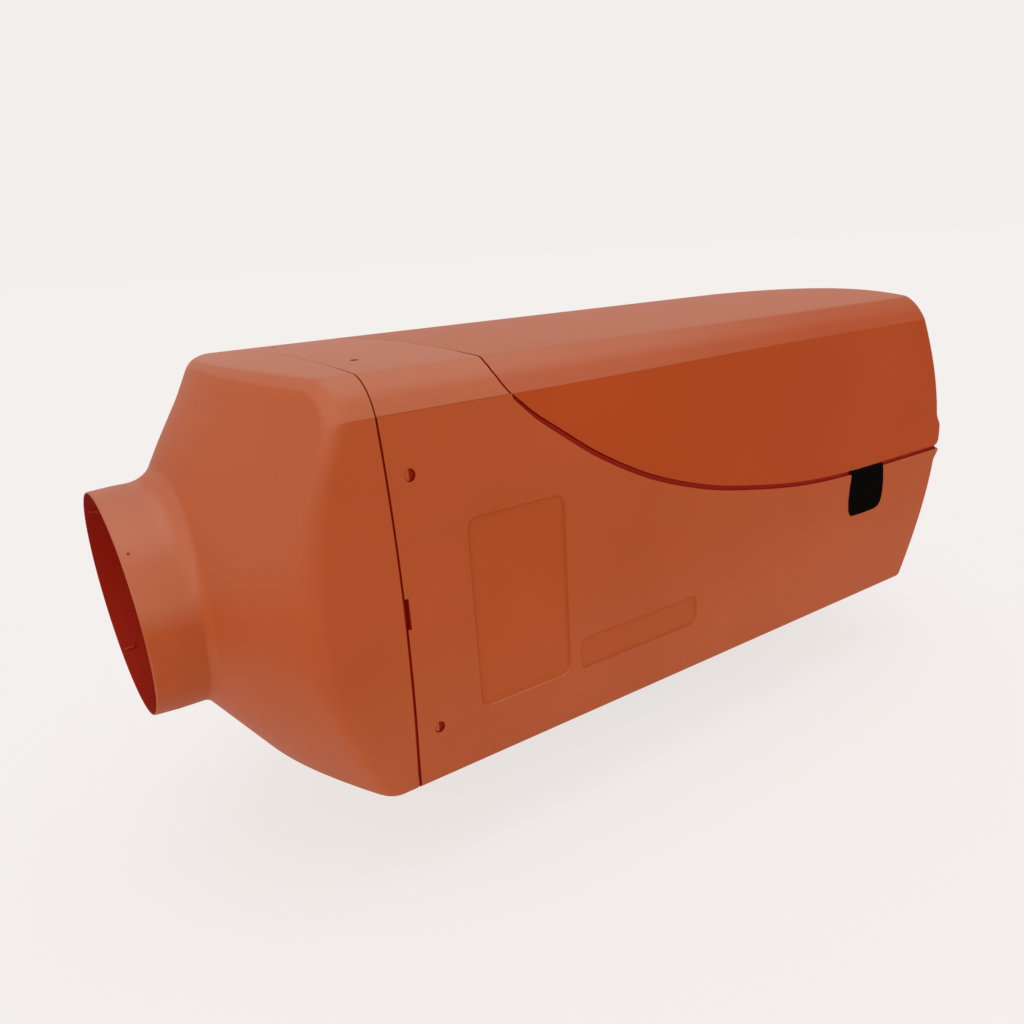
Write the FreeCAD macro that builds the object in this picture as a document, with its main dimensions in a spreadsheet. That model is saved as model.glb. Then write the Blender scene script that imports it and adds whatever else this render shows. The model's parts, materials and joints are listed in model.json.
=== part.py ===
"""Ducted air heater: moulded casing, burner, heat exchanger, blower and control unit.

Millimetres. The origin is the centre of the mounting foot's lower face, -X is the warm air
outlet, +X the fan end, +Z up. Every piece is drawn in the heater's own axes, whose origin is the
heater's long axis at the seam between the hood and the casing, and then seated as a whole.
"""
import FreeCAD, Part
import Sketcher
import math
import os
import re

Vector = FreeCAD.Vector

# Driving sizes, in millimetres; the blade pitch is in degrees
SIZES = {
    # Casing section
    "casing_width": 140.0,
    "axis_rise": 68.3,
    "crease_rise": 62.0,
    "shoulder_rise": 72.3,
    "shoulder_inset": 11.0,
    "shoulder_bow": 15.0,
    "crown_rise": 2.0,
    "corner_round": 3.0,
    "wall": 2.2,
    "overrun": 5.0,
    "edge_match": 0.01,
    # Casing along its length, from the seam with the hood
    "casing_length": 320.0,
    "end_wall": 3.0,
    "end_edge_round": 2.5,
    "bridge_gap": 0.25,
    "seam_gap": 0.7,
    "seam_to_foot": 125.0,
    "casing_flat_radius": 52.7,
    "casing_end_depth": 30.2,
    "lid_flat_radius": 55.7,
    "lid_end_depth": 37.3,
    "intake_radius": 47.0,
    "grip_depth": 2.6,
    "grip_height": 4.5,
    "lid_grip_height": 14.0,
    # Hood and duct collar
    "hood_depth": 50.9,
    "hood_cone_radius": 113.4,
    "hood_wall": 3.0,
    "hood_edge_round": 2.5,
    "collar_radius": 39.35,
    "collar_lead": 0.45,
    "collar_lead_length": 8.0,
    "collar_length": 18.9,
    "collar_wall": 1.8,
    "collar_root": 3.0,
    "collar_rib_length": 11.0,
    "collar_rib_height": 0.9,
    "spigot_length": 9.0,
    "spigot_root": 6.0,
    "spigot_wall": 1.6,
    "spigot_gap": 0.35,
    # Parting between lid and casing
    "lid_front": 44.0,
    "lid_knee": 48.0,
    "lid_gap": 2.0,
    "lid_front_gap": 0.8,
    "lip_height": 6.0,
    "lip_wall": 1.6,
    "lip_gap": 0.4,
    "lip_end_gap": 1.0,
    "hook_width": 14.0,
    "hook_spacing": 60.0,
    "hook_reach": 4.0,
    "hook_depth": 2.4,
    "hook_gap": 0.4,
    # Holes, notches and recesses in the casing
    "clip_hole_radius": 2.2,
    "clip_hole_x": 8.8,
    "clip_hole_high": 42.0,
    "clip_hole_low": 46.8,
    "top_hole_spacing": 74.0,
    "notch_length": 3.4,
    "notch_width": 10.0,
    "notch_drop": 2.5,
    "label_x": 28.5,
    "label_length": 38.5,
    "label_height": 69.0,
    "label_base": 22.3,
    "label_round": 4.0,
    "label_depth": 0.8,
    "plate_x": 73.7,
    "plate_length": 61.0,
    "plate_height": 13.0,
    "plate_base": 21.3,
    "plate_round": 3.0,
    "saddle_wall": 3.0,
    "saddle_rise": 34.0,
    "saddle_clear": 9.0,
    "saddle_inset": 12.0,
    "seat_gap": 0.2,
    # Cable outlets and their plugs
    "outlet_x": 236.0,
    "outlet_width": 26.0,
    "outlet_depth": 20.0,
    "outlet_round": 4.0,
    "plug_gap": 0.15,
    "plug_proud": 0.4,
    "plug_flange": 2.0,
    "plug_flange_wall": 2.0,
    # Intake grille
    "grille_depth": 8.0,
    "grille_gap": 0.6,
    "grille_rim": 3.0,
    "grille_flange": 3.0,
    "grille_flange_wall": 2.0,
    "grille_hub_radius": 12.0,
    "grille_ring_wall": 1.8,
    "grille_ring_pitch": 8.6,
    "grille_spoke": 2.4,
    # Heat exchanger and its foot
    "exchanger_start": 12.0,
    "exchanger_length": 150.0,
    "core_radius": 42.0,
    "core_wall": 4.0,
    "dome_round": 12.0,
    "fin_radius": 62.0,
    "fin_wall": 2.0,
    "fin_inset": 6.0,
    "flange_radius": 57.0,
    "flange_wall": 8.0,
    "fin_clear": 4.0,
    "foot_height": 8.7,
    "foot_length": 74.0,
    "foot_width": 100.0,
    "foot_plate": 8.0,
    "foot_neck_width": 44.0,
    "gasket_wall": 1.5,
    "gasket_length": 106.0,
    "gasket_width": 104.0,
    "gasket_clear": 0.3,
    "cutout_margin": 3.0,
    # Pipes and studs below the casing
    "pipe_reach": 30.0,
    "pipe_fit": 0.05,
    "pipe_step": 0.4,
    "exhaust_x": 103.0,
    "exhaust_radius": 12.0,
    "exhaust_wall": 1.2,
    "exhaust_seat": 14.0,
    "air_stub_radius": 11.0,
    "air_stub_wall": 1.5,
    "air_stub_seat": 12.0,
    "air_boss_wall": 3.5,
    "fuel_pipe_radius": 2.5,
    "fuel_pipe_wall": 0.8,
    "fuel_offset": 8.0,
    "stud_radius": 3.0,
    "stud_spacing_x": 58.0,
    "stud_spacing_y": 72.0,
    "stud_length": 22.0,
    "stud_reach": 14.0,
    # Burner
    "head_wall": 4.0,
    "head_radius": 44.2,
    "head_seat_gap": 0.1,
    "cup_radius": 26.0,
    "cup_wall": 2.0,
    "cup_length": 32.0,
    "cup_inlet_radius": 14.0,
    "tube_wall": 1.2,
    "tube_overlap": 6.0,
    "tube_front": 22.0,
    "tube_gap": 0.15,
    "plug_x": 145.0,
    "plug_body_radius": 5.0,
    "plug_hex": 7.0,
    "plug_hex_height": 5.0,
    "plug_boss_radius": 9.0,
    "plug_boss_rise": 50.0,
    "pin_radius": 2.5,
    "pin_end": 16.0,
    "terminal_radius": 2.0,
    "terminal_height": 4.0,
    "screen_radius": 6.4,
    "screen_wall": 0.6,
    "screen_length": 10.0,
    "socket_wall": 1.6,
    "socket_rise": 36.0,
    # Blower housing and combustion impeller
    "housing_plate": 4.0,
    "impeller_room": 16.0,
    "volute_radius": 48.0,
    "volute_wall": 3.0,
    "blower_screw_radius": 52.5,
    "screw_shank": 2.5,
    "screw_head": 4.4,
    "screw_head_height": 4.0,
    "screw_socket": 2.2,
    "screw_depth": 8.0,
    "impeller_radius": 42.0,
    "impeller_disc": 2.0,
    "vane_height": 9.0,
    "vane_wall": 1.6,
    "vane_inner": 18.0,
    "impeller_hub": 8.0,
    "impeller_clear": 2.5,
    # Motor and rotor
    "motor_radius": 25.0,
    "motor_wall": 1.6,
    "motor_length": 46.0,
    "magnet_wall": 3.0,
    "magnet_length": 28.0,
    "core_gap": 1.0,
    "shaft_radius": 3.0,
    "running_gap": 0.05,
    "bearing_radius": 8.0,
    "bearing_width": 5.0,
    "bearing_pocket": 2.0,
    "shaft_clear": 0.5,
    # Hot air fan
    "fan_gap": 12.0,
    "fan_width": 30.0,
    "fan_radius": 51.5,
    "fan_hub": 17.0,
    "fan_hub_wall": 3.0,
    "blade_wall": 1.8,
    "blade_chord": 34.0,
    "blade_pitch": 24.0,
    "blade_bow": 68.0,
    "nut_radius": 6.0,
    "nut_height": 4.0,
    "speed_magnet_radius": 2.5,
    "speed_magnet_length": 4.0,
    "speed_magnet_orbit": 12.0,
    # Carrier: motor clamp, struts and fan ring in one moulding
    "ring_radius": 56.0,
    "ring_wall": 2.5,
    "ring_start": 217.0,
    "ring_end": 305.0,
    "clamp_length": 12.0,
    "clamp_wall": 3.5,
    "strut_wall": 3.0,
    "deck_rise": 57.0,
    "deck_depth": 4.0,
    "deck_length": 36.0,
    "deck_width": 60.0,
    # Control unit and its loom socket
    "unit_start": 168.0,
    "unit_length": 96.0,
    "unit_width": 84.0,
    "unit_height": 9.5,
    "unit_wall": 1.6,
    "unit_cover": 1.6,
    "unit_round": 3.0,
    "board_wall": 1.6,
    "board_rise": 3.0,
    "board_gap": 0.5,
    "unit_screw_inset": 5.0,
    "unit_screw_shank": 1.1,
    "unit_screw_head": 2.0,
    "unit_screw_head_height": 1.0,
    "unit_screw_depth": 6.0,
    "socket_length": 12.0,
    "socket_width": 22.0,
    "socket_height": 8.0,
    "socket_well": 9.0,
    # Overheat sensor on the exchanger and the leads
    "sensor_x": 38.0,
    "sensor_radius": 5.0,
    "sensor_height": 5.0,
    "sensor_pocket": 30.0,
    "sensor_pocket_width": 20.0,
    "clip_length": 24.0,
    "clip_width": 7.0,
    "clip_wall": 0.8,
    "lead_radius": 1.2,
    "lead_bend": 3.0,
    "lead_spacing": 6.0,
    "lead_x": 200.0,
    "sensor_lead_offset": 2.2,
    "glow_lead_offset": 0.6,
}

# Shares: plain ratios of the sizes that they follow
FIN_COUNT = 28
VANE_COUNT = 12
BLADE_COUNT = 9
COLLAR_RIB_COUNT = 8
GRILLE_RING_COUNT = 3
GRILLE_SPOKE_COUNT = 8
STRUT_COUNT = 4
SAMPLE_SHARES = (0.1, 0.35, 0.6, 0.85)
CREASE_SHARE = 0.43
SHOULDER_SHARE = 0.40
# The lid's parting curve on the casing's side, as shares of casing length and crease height
CURVE_SHARES = (
    (0.2084, 0.7113),
    (0.4241, 0.1742),
    (0.7500, -0.0541),
    (0.9800, -0.0621),
)
CURVE_BOW_SHARES = (0.559, 0.669, 1.219)

doc = FreeCAD.newDocument("air_heater")
sheet = doc.addObject("Spreadsheet::Sheet", "Sizes")
for row, (alias, number) in enumerate(SIZES.items(), start=1):
    sheet.set(f"A{row}", alias)
    sheet.set(f"B{row}", str(number))
    sheet.setAlias(f"B{row}", alias)
doc.recompute()

ALIAS = re.compile(r"[a-z][a-z0-9_]*")
FUNCTIONS = ("sqrt", "tan", "cos", "sin")


def formula(text):
    """Expression of the document, with each alias looked up in the sheet."""
    def looked_up(found):
        word = found.group()
        return word if word in FUNCTIONS else "Sizes." + word
    return ALIAS.sub(looked_up, text)


def value(text):
    """Present value of a formula."""
    return float(sheet.evalExpression(formula(text)))


def bind(thing, **formulas):
    """Ties properties of an object to formulas; a double underscore stands for a dot."""
    for name, text in formulas.items():
        thing.setExpression(name.replace("__", "."), formula(text))
    return thing


# Derived places, in the heater's own axes
HALF = "(casing_width / 2)"
BASE = "(-axis_rise)"
FOOT = "(-axis_rise - foot_height)"
REAR = "(exchanger_start + exchanger_length)"
BLOWER = f"({REAR} + gasket_wall)"
CHAMBER = f"({BLOWER} + housing_plate)"
CHAMBER_END = f"({CHAMBER} + impeller_room)"
MOTOR = f"({CHAMBER_END} + housing_plate)"
MOTOR_END = f"({MOTOR} + motor_length)"
FAN = f"({MOTOR_END} + fan_gap)"
FAN_END = f"({FAN} + fan_width)"
MID_CHAMBER = f"({CHAMBER} + impeller_room / 2)"
PLATE_BASE = f"({FOOT} + gasket_wall)"
PLATE_TOP = f"({PLATE_BASE} + foot_plate)"
UNIT_BASE = "(deck_rise + seat_gap)"
AIR_BOSS = f"({BASE} + wall + seat_gap)"


# Drawing helpers
def body(label):
    made = doc.addObject("PartDesign::Body", label)
    made.Label = label
    made.AllowCompound = True
    return made


def datum(owner, role):
    return next(item for item in owner.Origin.OriginFeatures if item.Role == role)


def sketch(owner, plane, offset="0"):
    """Empty sketch on one of the body's own planes, raised along that plane's normal."""
    made = owner.newObject("Sketcher::SketchObject", owner.Label + "_sketch")
    made.AttachmentSupport = [(datum(owner, plane), "")]
    made.MapMode = "FlatFace"
    return bind(made, AttachmentOffset__Base__z=offset)


def fix(made, geometry, end, x, y):
    for kind, text in (("DistanceX", x), ("DistanceY", y)):
        index = made.addConstraint(Sketcher.Constraint(kind, geometry, end, value(text)))
        made.setExpression(f"Constraints[{index}]", formula(text))


def bowed(start, end, radius):
    """Arc from start to end; a positive radius bows to the right of the way from start to end."""
    middle = (start + end) * 0.5
    way = end - start
    left = Vector(-way.y, way.x, 0).normalize()
    rise = math.sqrt(max(radius * radius - way.Length ** 2 / 4, 0))
    centre = middle + left * math.copysign(rise, radius)
    ends = (start, end) if radius > 0 else (end, start)
    angles = [math.atan2(point.y - centre.y, point.x - centre.x) for point in ends]
    circle = Part.Circle(centre, Vector(0, 0, 1), abs(radius))
    return Part.ArcOfCircle(circle, angles[0], angles[1])


def outline(made, corners, arcs=None):
    """Closed outline through the corners; arcs gives the signed radius of a side by its number."""
    arcs = arcs or {}
    points = [Vector(value(x), value(y), 0) for x, y in corners]
    sides = []
    for number, start in enumerate(points):
        end = points[(number + 1) % len(points)]
        if number in arcs:
            radius = value(arcs[number])
            index = made.addGeometry(bowed(start, end, radius))
            first, last = (1, 2) if radius > 0 else (2, 1)
        else:
            index = made.addGeometry(Part.LineSegment(start, end))
            first, last = 1, 2
        sides.append((index, first, last))
    for number, (index, first, last) in enumerate(sides):
        after = sides[(number + 1) % len(sides)]
        made.addConstraint(Sketcher.Constraint("Coincident", index, last, after[0], after[1]))
        fix(made, index, first, *corners[number])
        if number in arcs:
            radius = abs(value(arcs[number]))
            held = made.addConstraint(Sketcher.Constraint("Radius", index, radius))
            made.setExpression(f"Constraints[{held}]", formula(f"sqrt(({arcs[number]}) ^ 2)"))
    return made


def ring(made, radius, x="0", y="0"):
    """Circle in a sketch."""
    centre = Vector(value(x), value(y), 0)
    index = made.addGeometry(Part.Circle(centre, Vector(0, 0, 1), value(radius)))
    fix(made, index, 3, x, y)
    held = made.addConstraint(Sketcher.Constraint("Radius", index, value(radius)))
    made.setExpression(f"Constraints[{held}]", formula(radius))
    return made


def feature(owner, kind, profile, **formulas):
    made = owner.newObject("PartDesign::" + kind, owner.Label + "_" + kind.lower())
    made.Profile = profile
    profile.Visibility = False
    owner.Tip = made
    return bind(made, **formulas)


def pad(owner, profile, length, both_ways=False):
    made = feature(owner, "Pad", profile, Length=length)
    if both_ways:
        made.SideType = "Symmetric"
    return made


def spin(owner, profile, axis="H_Axis", kind="Revolution"):
    made = feature(owner, kind, profile)
    made.ReferenceAxis = (profile, [axis])
    made.Angle = 360
    return made


def around(owner, original, count):
    """Repeats a feature about the heater's long axis."""
    doc.recompute()
    made = owner.newObject("PartDesign::PolarPattern", owner.Label + "_pattern")
    made.Originals = [original]
    made.Axis = (datum(owner, "X_Axis"), [""])
    made.Angle = 360
    made.Occurrences = count
    owner.Tip = made
    return made


def turned(label, profile, arcs=None):
    """Body of revolution about the heater's long axis, profile as (along, radius) corners."""
    made = body(label)
    spin(made, outline(sketch(made, "XZ_Plane"), profile, arcs))
    return made


def tube(label, start, end, outer, inner):
    """Plain tube about the long axis."""
    return turned(label, [(start, inner), (end, inner), (end, outer), (start, outer)])


def slab(label, corners, width, arcs=None):
    """Side outline (along, up), as thick as width, centred on the heater's middle plane."""
    made = body(label)
    pad(made, outline(sketch(made, "XZ_Plane"), corners, arcs), width, both_ways=True)
    return made


def block(label, x, y, z):
    """Box between the two ends given for each axis."""
    made = doc.addObject("Part::Box", label)
    bind(made, Length=f"{x[1]} - ({x[0]})", Width=f"{y[1]} - ({y[0]})", Height=f"{z[1]} - ({z[0]})")
    return bind(made, Placement__Base__x=x[0], Placement__Base__y=y[0], Placement__Base__z=z[0])


TURNS = {
    "X": FreeCAD.Rotation(Vector(0, 1, 0), 90),
    "Y": FreeCAD.Rotation(Vector(1, 0, 0), -90),
    "Z": FreeCAD.Rotation(),
}


def rod(label, axis, radius, length, x="0", y="0", z="0"):
    """Cylinder that starts at x, y, z and runs along a positive axis."""
    made = doc.addObject("Part::Cylinder", label)
    made.Placement = FreeCAD.Placement(Vector(), TURNS[axis])
    bind(made, Radius=radius, Height=length)
    return bind(made, Placement__Base__x=x, Placement__Base__y=y, Placement__Base__z=z)


def cone(label, start, start_radius, end, end_radius):
    """Cone about the long axis."""
    made = doc.addObject("Part::Cone", label)
    made.Placement = FreeCAD.Placement(Vector(), TURNS["X"])
    bind(made, Radius1=start_radius, Radius2=end_radius, Height=f"{end} - ({start})")
    return bind(made, Placement__Base__x=start)


def cut(label, base, *tools):
    made = doc.addObject("Part::Cut", label)
    made.Base = base
    made.Tool = tools[0] if len(tools) == 1 else fuse(label + "_tools", *tools)
    made.Refine = False
    return made


def fuse(label, *pieces):
    made = doc.addObject("Part::MultiFuse", label)
    made.Shapes = list(pieces)
    made.Refine = False
    return made


def common(label, *pieces):
    made = doc.addObject("Part::MultiCommon", label)
    made.Shapes = list(pieces)
    made.Refine = False
    return made


def group(label, *pieces):
    """Separate solids in one node."""
    made = doc.addObject("Part::Compound", label)
    made.Links = list(pieces)
    return made


NODES = []


def seat(made):
    """Moves a finished piece from the heater's own axes to its place over the foot."""
    bind(made, Placement__Base__x="-seam_to_foot", Placement__Base__z="foot_height + axis_rise")
    NODES.append(made)
    return made


def soften(label, base, radius, chosen):
    """Rounds the chosen edges of a solid."""
    doc.recompute()
    made = doc.addObject("Part::Fillet", label)
    made.Base = base
    size = value(radius)
    made.Edges = [(n, size, size) for n, edge in enumerate(base.Shape.Edges, start=1) if chosen(edge)]
    return made


def on_cone(edge, start, start_radius, end, end_radius):
    """Whether a curved edge lies on a cone about the long axis, and not square to that axis."""
    if isinstance(edge.Curve, Part.Line):
        return False
    first, last = edge.ParameterRange
    points = [edge.valueAt(first + (last - first) * share) for share in SAMPLE_SHARES]
    slope = (value(end_radius) - value(start_radius)) / (value(end) - value(start))
    far = [abs(math.hypot(point.y, point.z) - value(start_radius) - (point.x - value(start)) * slope)
           for point in points]
    spread = max(point.x for point in points) - min(point.x for point in points)
    return max(far) < value("edge_match") and spread > value("edge_match")


# Casing forms: the outer skin and the same form drawn in by an inset
def section(owner, inset):
    """Cross section of the casing, drawn in by the inset."""
    half = f"({HALF} - ({inset}))"
    low = f"({BASE} + ({inset}))"
    crease = f"(crease_rise - ({inset}) * {CREASE_SHARE})"
    shoulder = f"({HALF} - shoulder_inset - ({inset}) * {SHOULDER_SHARE})"
    top = f"(shoulder_rise - ({inset}))"
    corners = [
        (f"-{half} + corner_round", low),
        (f"{half} - corner_round", low),
        (half, f"{low} + corner_round"),
        (half, crease),
        (shoulder, top),
        (f"-{shoulder}", top),
        (f"-{half}", crease),
        (f"-{half}", f"{low} + corner_round"),
    ]
    crown = f"({shoulder} ^ 2 + crown_rise ^ 2) / (2 * crown_rise)"
    arcs = {1: "corner_round", 3: "shoulder_bow", 4: crown, 5: "shoulder_bow", 7: "corner_round"}
    return outline(sketch(owner, "YZ_Plane"), corners, arcs)


def prism(label, start, end, inset):
    made = body(label)
    profile = section(made, inset)
    bind(profile, AttachmentOffset__Base__z=start)
    pad(made, profile, f"{end} - ({start})")
    return made


CORNER = f"sqrt({HALF} ^ 2 + crease_rise ^ 2)"


def end_profile(flat_radius, depth, shift):
    """Coned fan end, drawn in along the axis by the shift and run on past the seam."""
    face = f"(casing_length - ({shift}))"
    rise = f"(({CORNER} - {flat_radius}) / {depth})"
    return "(-overrun)", f"{flat_radius} + ({face} + overrun) * {rise}", face, flat_radius


def casing_form(label, inset, shift, flat_radius, depth, start):
    skin = prism(label + "_prism", start, "casing_length + overrun", inset)
    return common(label, skin, cone(label + "_end", *end_profile(flat_radius, depth, shift)))


# The parting curve between lid and casing, and the regions above and below it
def curve(drop_x="0", drop_z="0"):
    """Points of the parting curve from the crease to the fan end, shifted as asked."""
    points = [("lid_knee", "crease_rise")]
    points += [(f"casing_length * {along}", f"crease_rise * {up}") for along, up in CURVE_SHARES]
    return [(f"{x} + {drop_x}", f"{z} + {drop_z}") for x, z in points]


def below_curve(label, drop_x="0", drop_z="0"):
    """Everything under the parting curve, and under the hairline at the crease ahead of it."""
    crease = f"crease_rise + {drop_z}"
    far = "casing_length + overrun"
    end_level = f"crease_rise * {CURVE_SHARES[-1][1]} + {drop_z}"
    corners = [("-hood_depth", crease)] + curve(drop_x, drop_z)
    corners += [(far, end_level), (far, f"{BASE} - overrun"), ("-hood_depth", f"{BASE} - overrun")]
    arcs = {n + 1: f"casing_length * {bow}" for n, bow in enumerate(CURVE_BOW_SHARES)}
    return slab(label, corners, "casing_width + 2 * overrun", arcs)


def above_curve(label, drop_x="0", drop_z="0"):
    """Everything behind the lid's front edge and above the parting curve."""
    far = "casing_length + overrun"
    roof = "shoulder_rise + crown_rise + overrun"
    end_level = f"crease_rise * {CURVE_SHARES[-1][1]} + {drop_z}"
    front = f"lid_front + {drop_x}"
    corners = [(front, "shoulder_rise")] + curve(drop_x, drop_z)
    corners += [(far, end_level), (far, roof), (front, roof)]
    arcs = {n + 1: f"casing_length * {bow}" for n, bow in enumerate(CURVE_BOW_SHARES)}
    return slab(label, corners, "casing_width + 2 * overrun", arcs)


def bridge_region(label, front, reach="0", lift="0"):
    """Over the crease and ahead of the lid's front edge."""
    roof = "shoulder_rise + crown_rise + overrun"
    corners = [
        (front, f"crease_rise + {lift}"),
        (f"lid_knee + {reach}", f"crease_rise + {lift}"),
        (f"lid_front + {reach}", "shoulder_rise"),
        (f"lid_front + {reach}", roof),
        (front, roof),
    ]
    return slab(label, corners, "casing_width + 2 * overrun")


LIP_IN = "wall + lip_gap"
LIP_FAR = "wall + lip_gap + lip_wall"
LIP_END = "end_wall + lip_end_gap"
SEAM = "(seam_gap / 2)"


def skin(label, kind):
    """Hollow casing skin with the cone of the lower casing or of the lid."""
    flat, depth = f"{kind}_flat_radius", f"{kind}_end_depth"
    sharp = casing_form(label + "_sharp", "0", "0", flat, depth, SEAM)
    outer = soften(label + "_outer", sharp, "end_edge_round",
                   lambda edge: on_cone(edge, *end_profile(flat, depth, "0")))
    inner = casing_form(label + "_inner", "wall", "end_wall", flat, depth, "-overrun")
    return cut(label, outer, inner)


def lip_skin(label, outside, shift):
    """Thin inner skin that the lips are cut from."""
    flat, depth = "casing_flat_radius", "casing_end_depth"
    outer = casing_form(label + "_outer", outside, shift, flat, depth, "spigot_length + lip_gap")
    inner = casing_form(label + "_inner", LIP_FAR, f"{LIP_END} + lip_wall", flat, depth, "-overrun")
    return cut(label, outer, inner)


def both_sides(label, x, z, radius):
    """Round tool across both side walls."""
    return rod(label, "Y", radius, "casing_width + 2 * overrun", x, f"-{HALF} - overrun", z)


def recess(label, x, length, base, height, rounding):
    """Shallow rounded recess on the photographed side."""
    made = body(label)
    low = f"({BASE} + {base})"
    far = f"({x} + {length})"
    top = f"({low} + {height})"
    corners = [
        (f"{x} + {rounding}", low), (f"{far} - {rounding}", low),
        (far, f"{low} + {rounding}"), (far, f"{top} - {rounding}"),
        (f"{far} - {rounding}", top), (f"{x} + {rounding}", top),
        (x, f"{top} - {rounding}"), (x, f"{low} + {rounding}"),
    ]
    profile = outline(sketch(made, "XZ_Plane"), corners, {1: rounding, 3: rounding, 5: rounding, 7: rounding})
    bind(profile, AttachmentOffset__Base__z=f"{HALF} - label_depth")
    pad(made, profile, "label_depth + overrun")
    return made


OUTLET_TOP = f"(crease_rise * {CURVE_SHARES[2][1]})"


def outlet_outline(gap, raise_by):
    """U outline of a cable outlet, drawn in by the gap."""
    left = f"(outlet_x + {gap})"
    right = f"(outlet_x + outlet_width - {gap})"
    low = f"({OUTLET_TOP} - outlet_depth + {gap})"
    top = f"({OUTLET_TOP} + {raise_by})"
    corners = [
        (f"{left} + outlet_round", low), (f"{right} - outlet_round", low),
        (right, f"{low} + outlet_round"), (right, top), (left, top), (left, f"{low} + outlet_round"),
    ]
    return corners, {1: "outlet_round", 5: "outlet_round"}


def saddle(label, x, radius):
    """Cross rib in the lower casing that cradles a round part."""
    inside = prism(label + "_blank", x, f"{x} + saddle_wall", "wall")
    low = block(label + "_low", (x, f"{x} + saddle_wall"), (f"-{HALF}", HALF),
                (BASE, f"{BASE} + saddle_rise"))
    tool = rod(label + "_cradle", "X", f"{radius} + seat_gap", "saddle_wall + 2 * overrun", f"{x} - overrun")
    return cut(label, common(label + "_rib", inside, low), tool)


def grip(label, kind):
    """Raised lip round the fan end, along the parting between lid and casing."""
    flat, depth = f"{kind}_flat_radius", f"{kind}_end_depth"
    outer = casing_form(label + "_outer", "0", "-grip_depth", flat, depth, "casing_length / 2")
    inner = casing_form(label + "_inner", "-overrun", "end_wall / 2", flat, depth, "-overrun")
    return cut(label, outer, inner)


# Lower casing
def make_lower_casing():
    walls = common("lower_walls", skin("lower_skin", "casing"), below_curve("lower_region"))
    edge = common("lip_foot", lip_skin("lip_foot_skin", "wall", "end_wall"),
                  cut("lip_foot_region", below_curve("lip_foot_top"),
                      below_curve("lip_foot_base", "0", "(-lip_height)")))
    rise = common("lip_rise", lip_skin("lip_rise_skin", LIP_IN, LIP_END),
                  cut("lip_rise_region", below_curve("lip_rise_top", "0", "lip_height"),
                      below_curve("lip_rise_base", "0", "(-lip_height)")))
    band = block("grip_band_low", ("casing_length - casing_end_depth", "casing_length + overrun"),
                 (f"-{HALF} - overrun", f"{HALF} + overrun"),
                 (f"crease_rise * {CURVE_SHARES[-1][1]} - grip_height",
                  f"crease_rise * {CURVE_SHARES[-1][1]}"))
    lip = common("lower_grip", grip("lower_grip_ring", "casing"), band)
    solid = fuse("lower_solid", walls, edge, rise, lip,
                 saddle("front_saddle", "exchanger_start + fin_inset + saddle_wall", "fin_radius"),
                 saddle("middle_saddle", "seam_to_foot - foot_length / 2 - cutout_margin - saddle_clear",
                        "fin_radius"),
                 saddle("fan_saddle", "ring_start + clamp_length", "ring_radius"),
                 saddle("end_saddle", "ring_end - saddle_inset", "ring_radius"))
    corners, arcs = outlet_outline("0", "lip_height + overrun")
    foot_x = "seam_to_foot - foot_length / 2 - cutout_margin"
    tools = [
        both_sides("clip_hole_high_tool", "clip_hole_x", "clip_hole_high", "clip_hole_radius"),
        both_sides("clip_hole_low_tool", "clip_hole_x", "-clip_hole_low", "clip_hole_radius"),
        block("notch_tool", ("-overrun", "notch_length"), (f"-{HALF} - overrun", f"{HALF} + overrun"),
              ("notch_drop - notch_width", "notch_drop")),
        recess("label_tool", "label_x", "label_length", "label_base", "label_height", "label_round"),
        recess("plate_tool", "plate_x", "plate_length", "plate_base", "plate_height", "plate_round"),
        slab("outlet_tool", corners, "casing_width + 2 * overrun", arcs),
        rod("intake_tool", "X", "intake_radius", "end_wall + grip_depth + 2 * overrun",
            "casing_length - end_wall - overrun"),
        rod("grille_flange_tool", "X", "intake_radius - grille_gap + grille_flange + seat_gap", "overrun",
            "casing_length - end_wall - overrun"),
        block("foot_tool", (foot_x, f"{foot_x} + gasket_length + cutout_margin"),
              ("-gasket_width / 2", "gasket_width / 2"), (f"{BASE} - overrun", f"{BASE} + wall + overrun")),
    ]
    return seat(cut("lower_casing", solid, *tools))


# Upper casing, the bridge between hood and lid
def make_upper_casing():
    whole = cut("upper_skin", prism("upper_outer", SEAM, "lid_knee + overrun", "0"),
                prism("upper_inner", "-overrun", "lid_knee + 2 * overrun", "wall"))
    walls = common("upper_walls", whole, bridge_region("upper_region", SEAM, "0", "bridge_gap"))
    start = "(lid_front - lip_height)"
    root = common("upper_lip_foot", lip_skin("upper_foot_skin", "wall", "end_wall"),
                  bridge_region("upper_foot_region", start, "0", "lip_height + lip_gap"))
    reach = common("upper_lip_rise", lip_skin("upper_rise_skin", LIP_IN, LIP_END),
                   bridge_region("upper_rise_region", start, "lip_height", "lip_height + lip_gap"))
    windows = [
        block(f"hook_window_{name}", (f"{start} - overrun", "lid_knee + lip_height + overrun"),
              (f"{side} * hook_spacing / 2 - hook_width / 2 - hook_gap",
               f"{side} * hook_spacing / 2 + hook_width / 2 + hook_gap"),
              ("crease_rise", "shoulder_rise + crown_rise"))
        for name, side in (("right", "(-1)"), ("left", "1"))
    ]
    lips = cut("upper_lips", fuse("upper_lips_whole", root, reach), *windows)
    holes = [
        rod(f"top_hole_{name}", "Z", "clip_hole_radius", "2 * overrun", "clip_hole_x",
            f"{side} * top_hole_spacing / 2", "shoulder_rise - overrun")
        for name, side in (("right", "(-1)"), ("left", "1"))
    ]
    return seat(cut("upper_casing", fuse("upper_solid", walls, lips), *holes))


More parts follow.
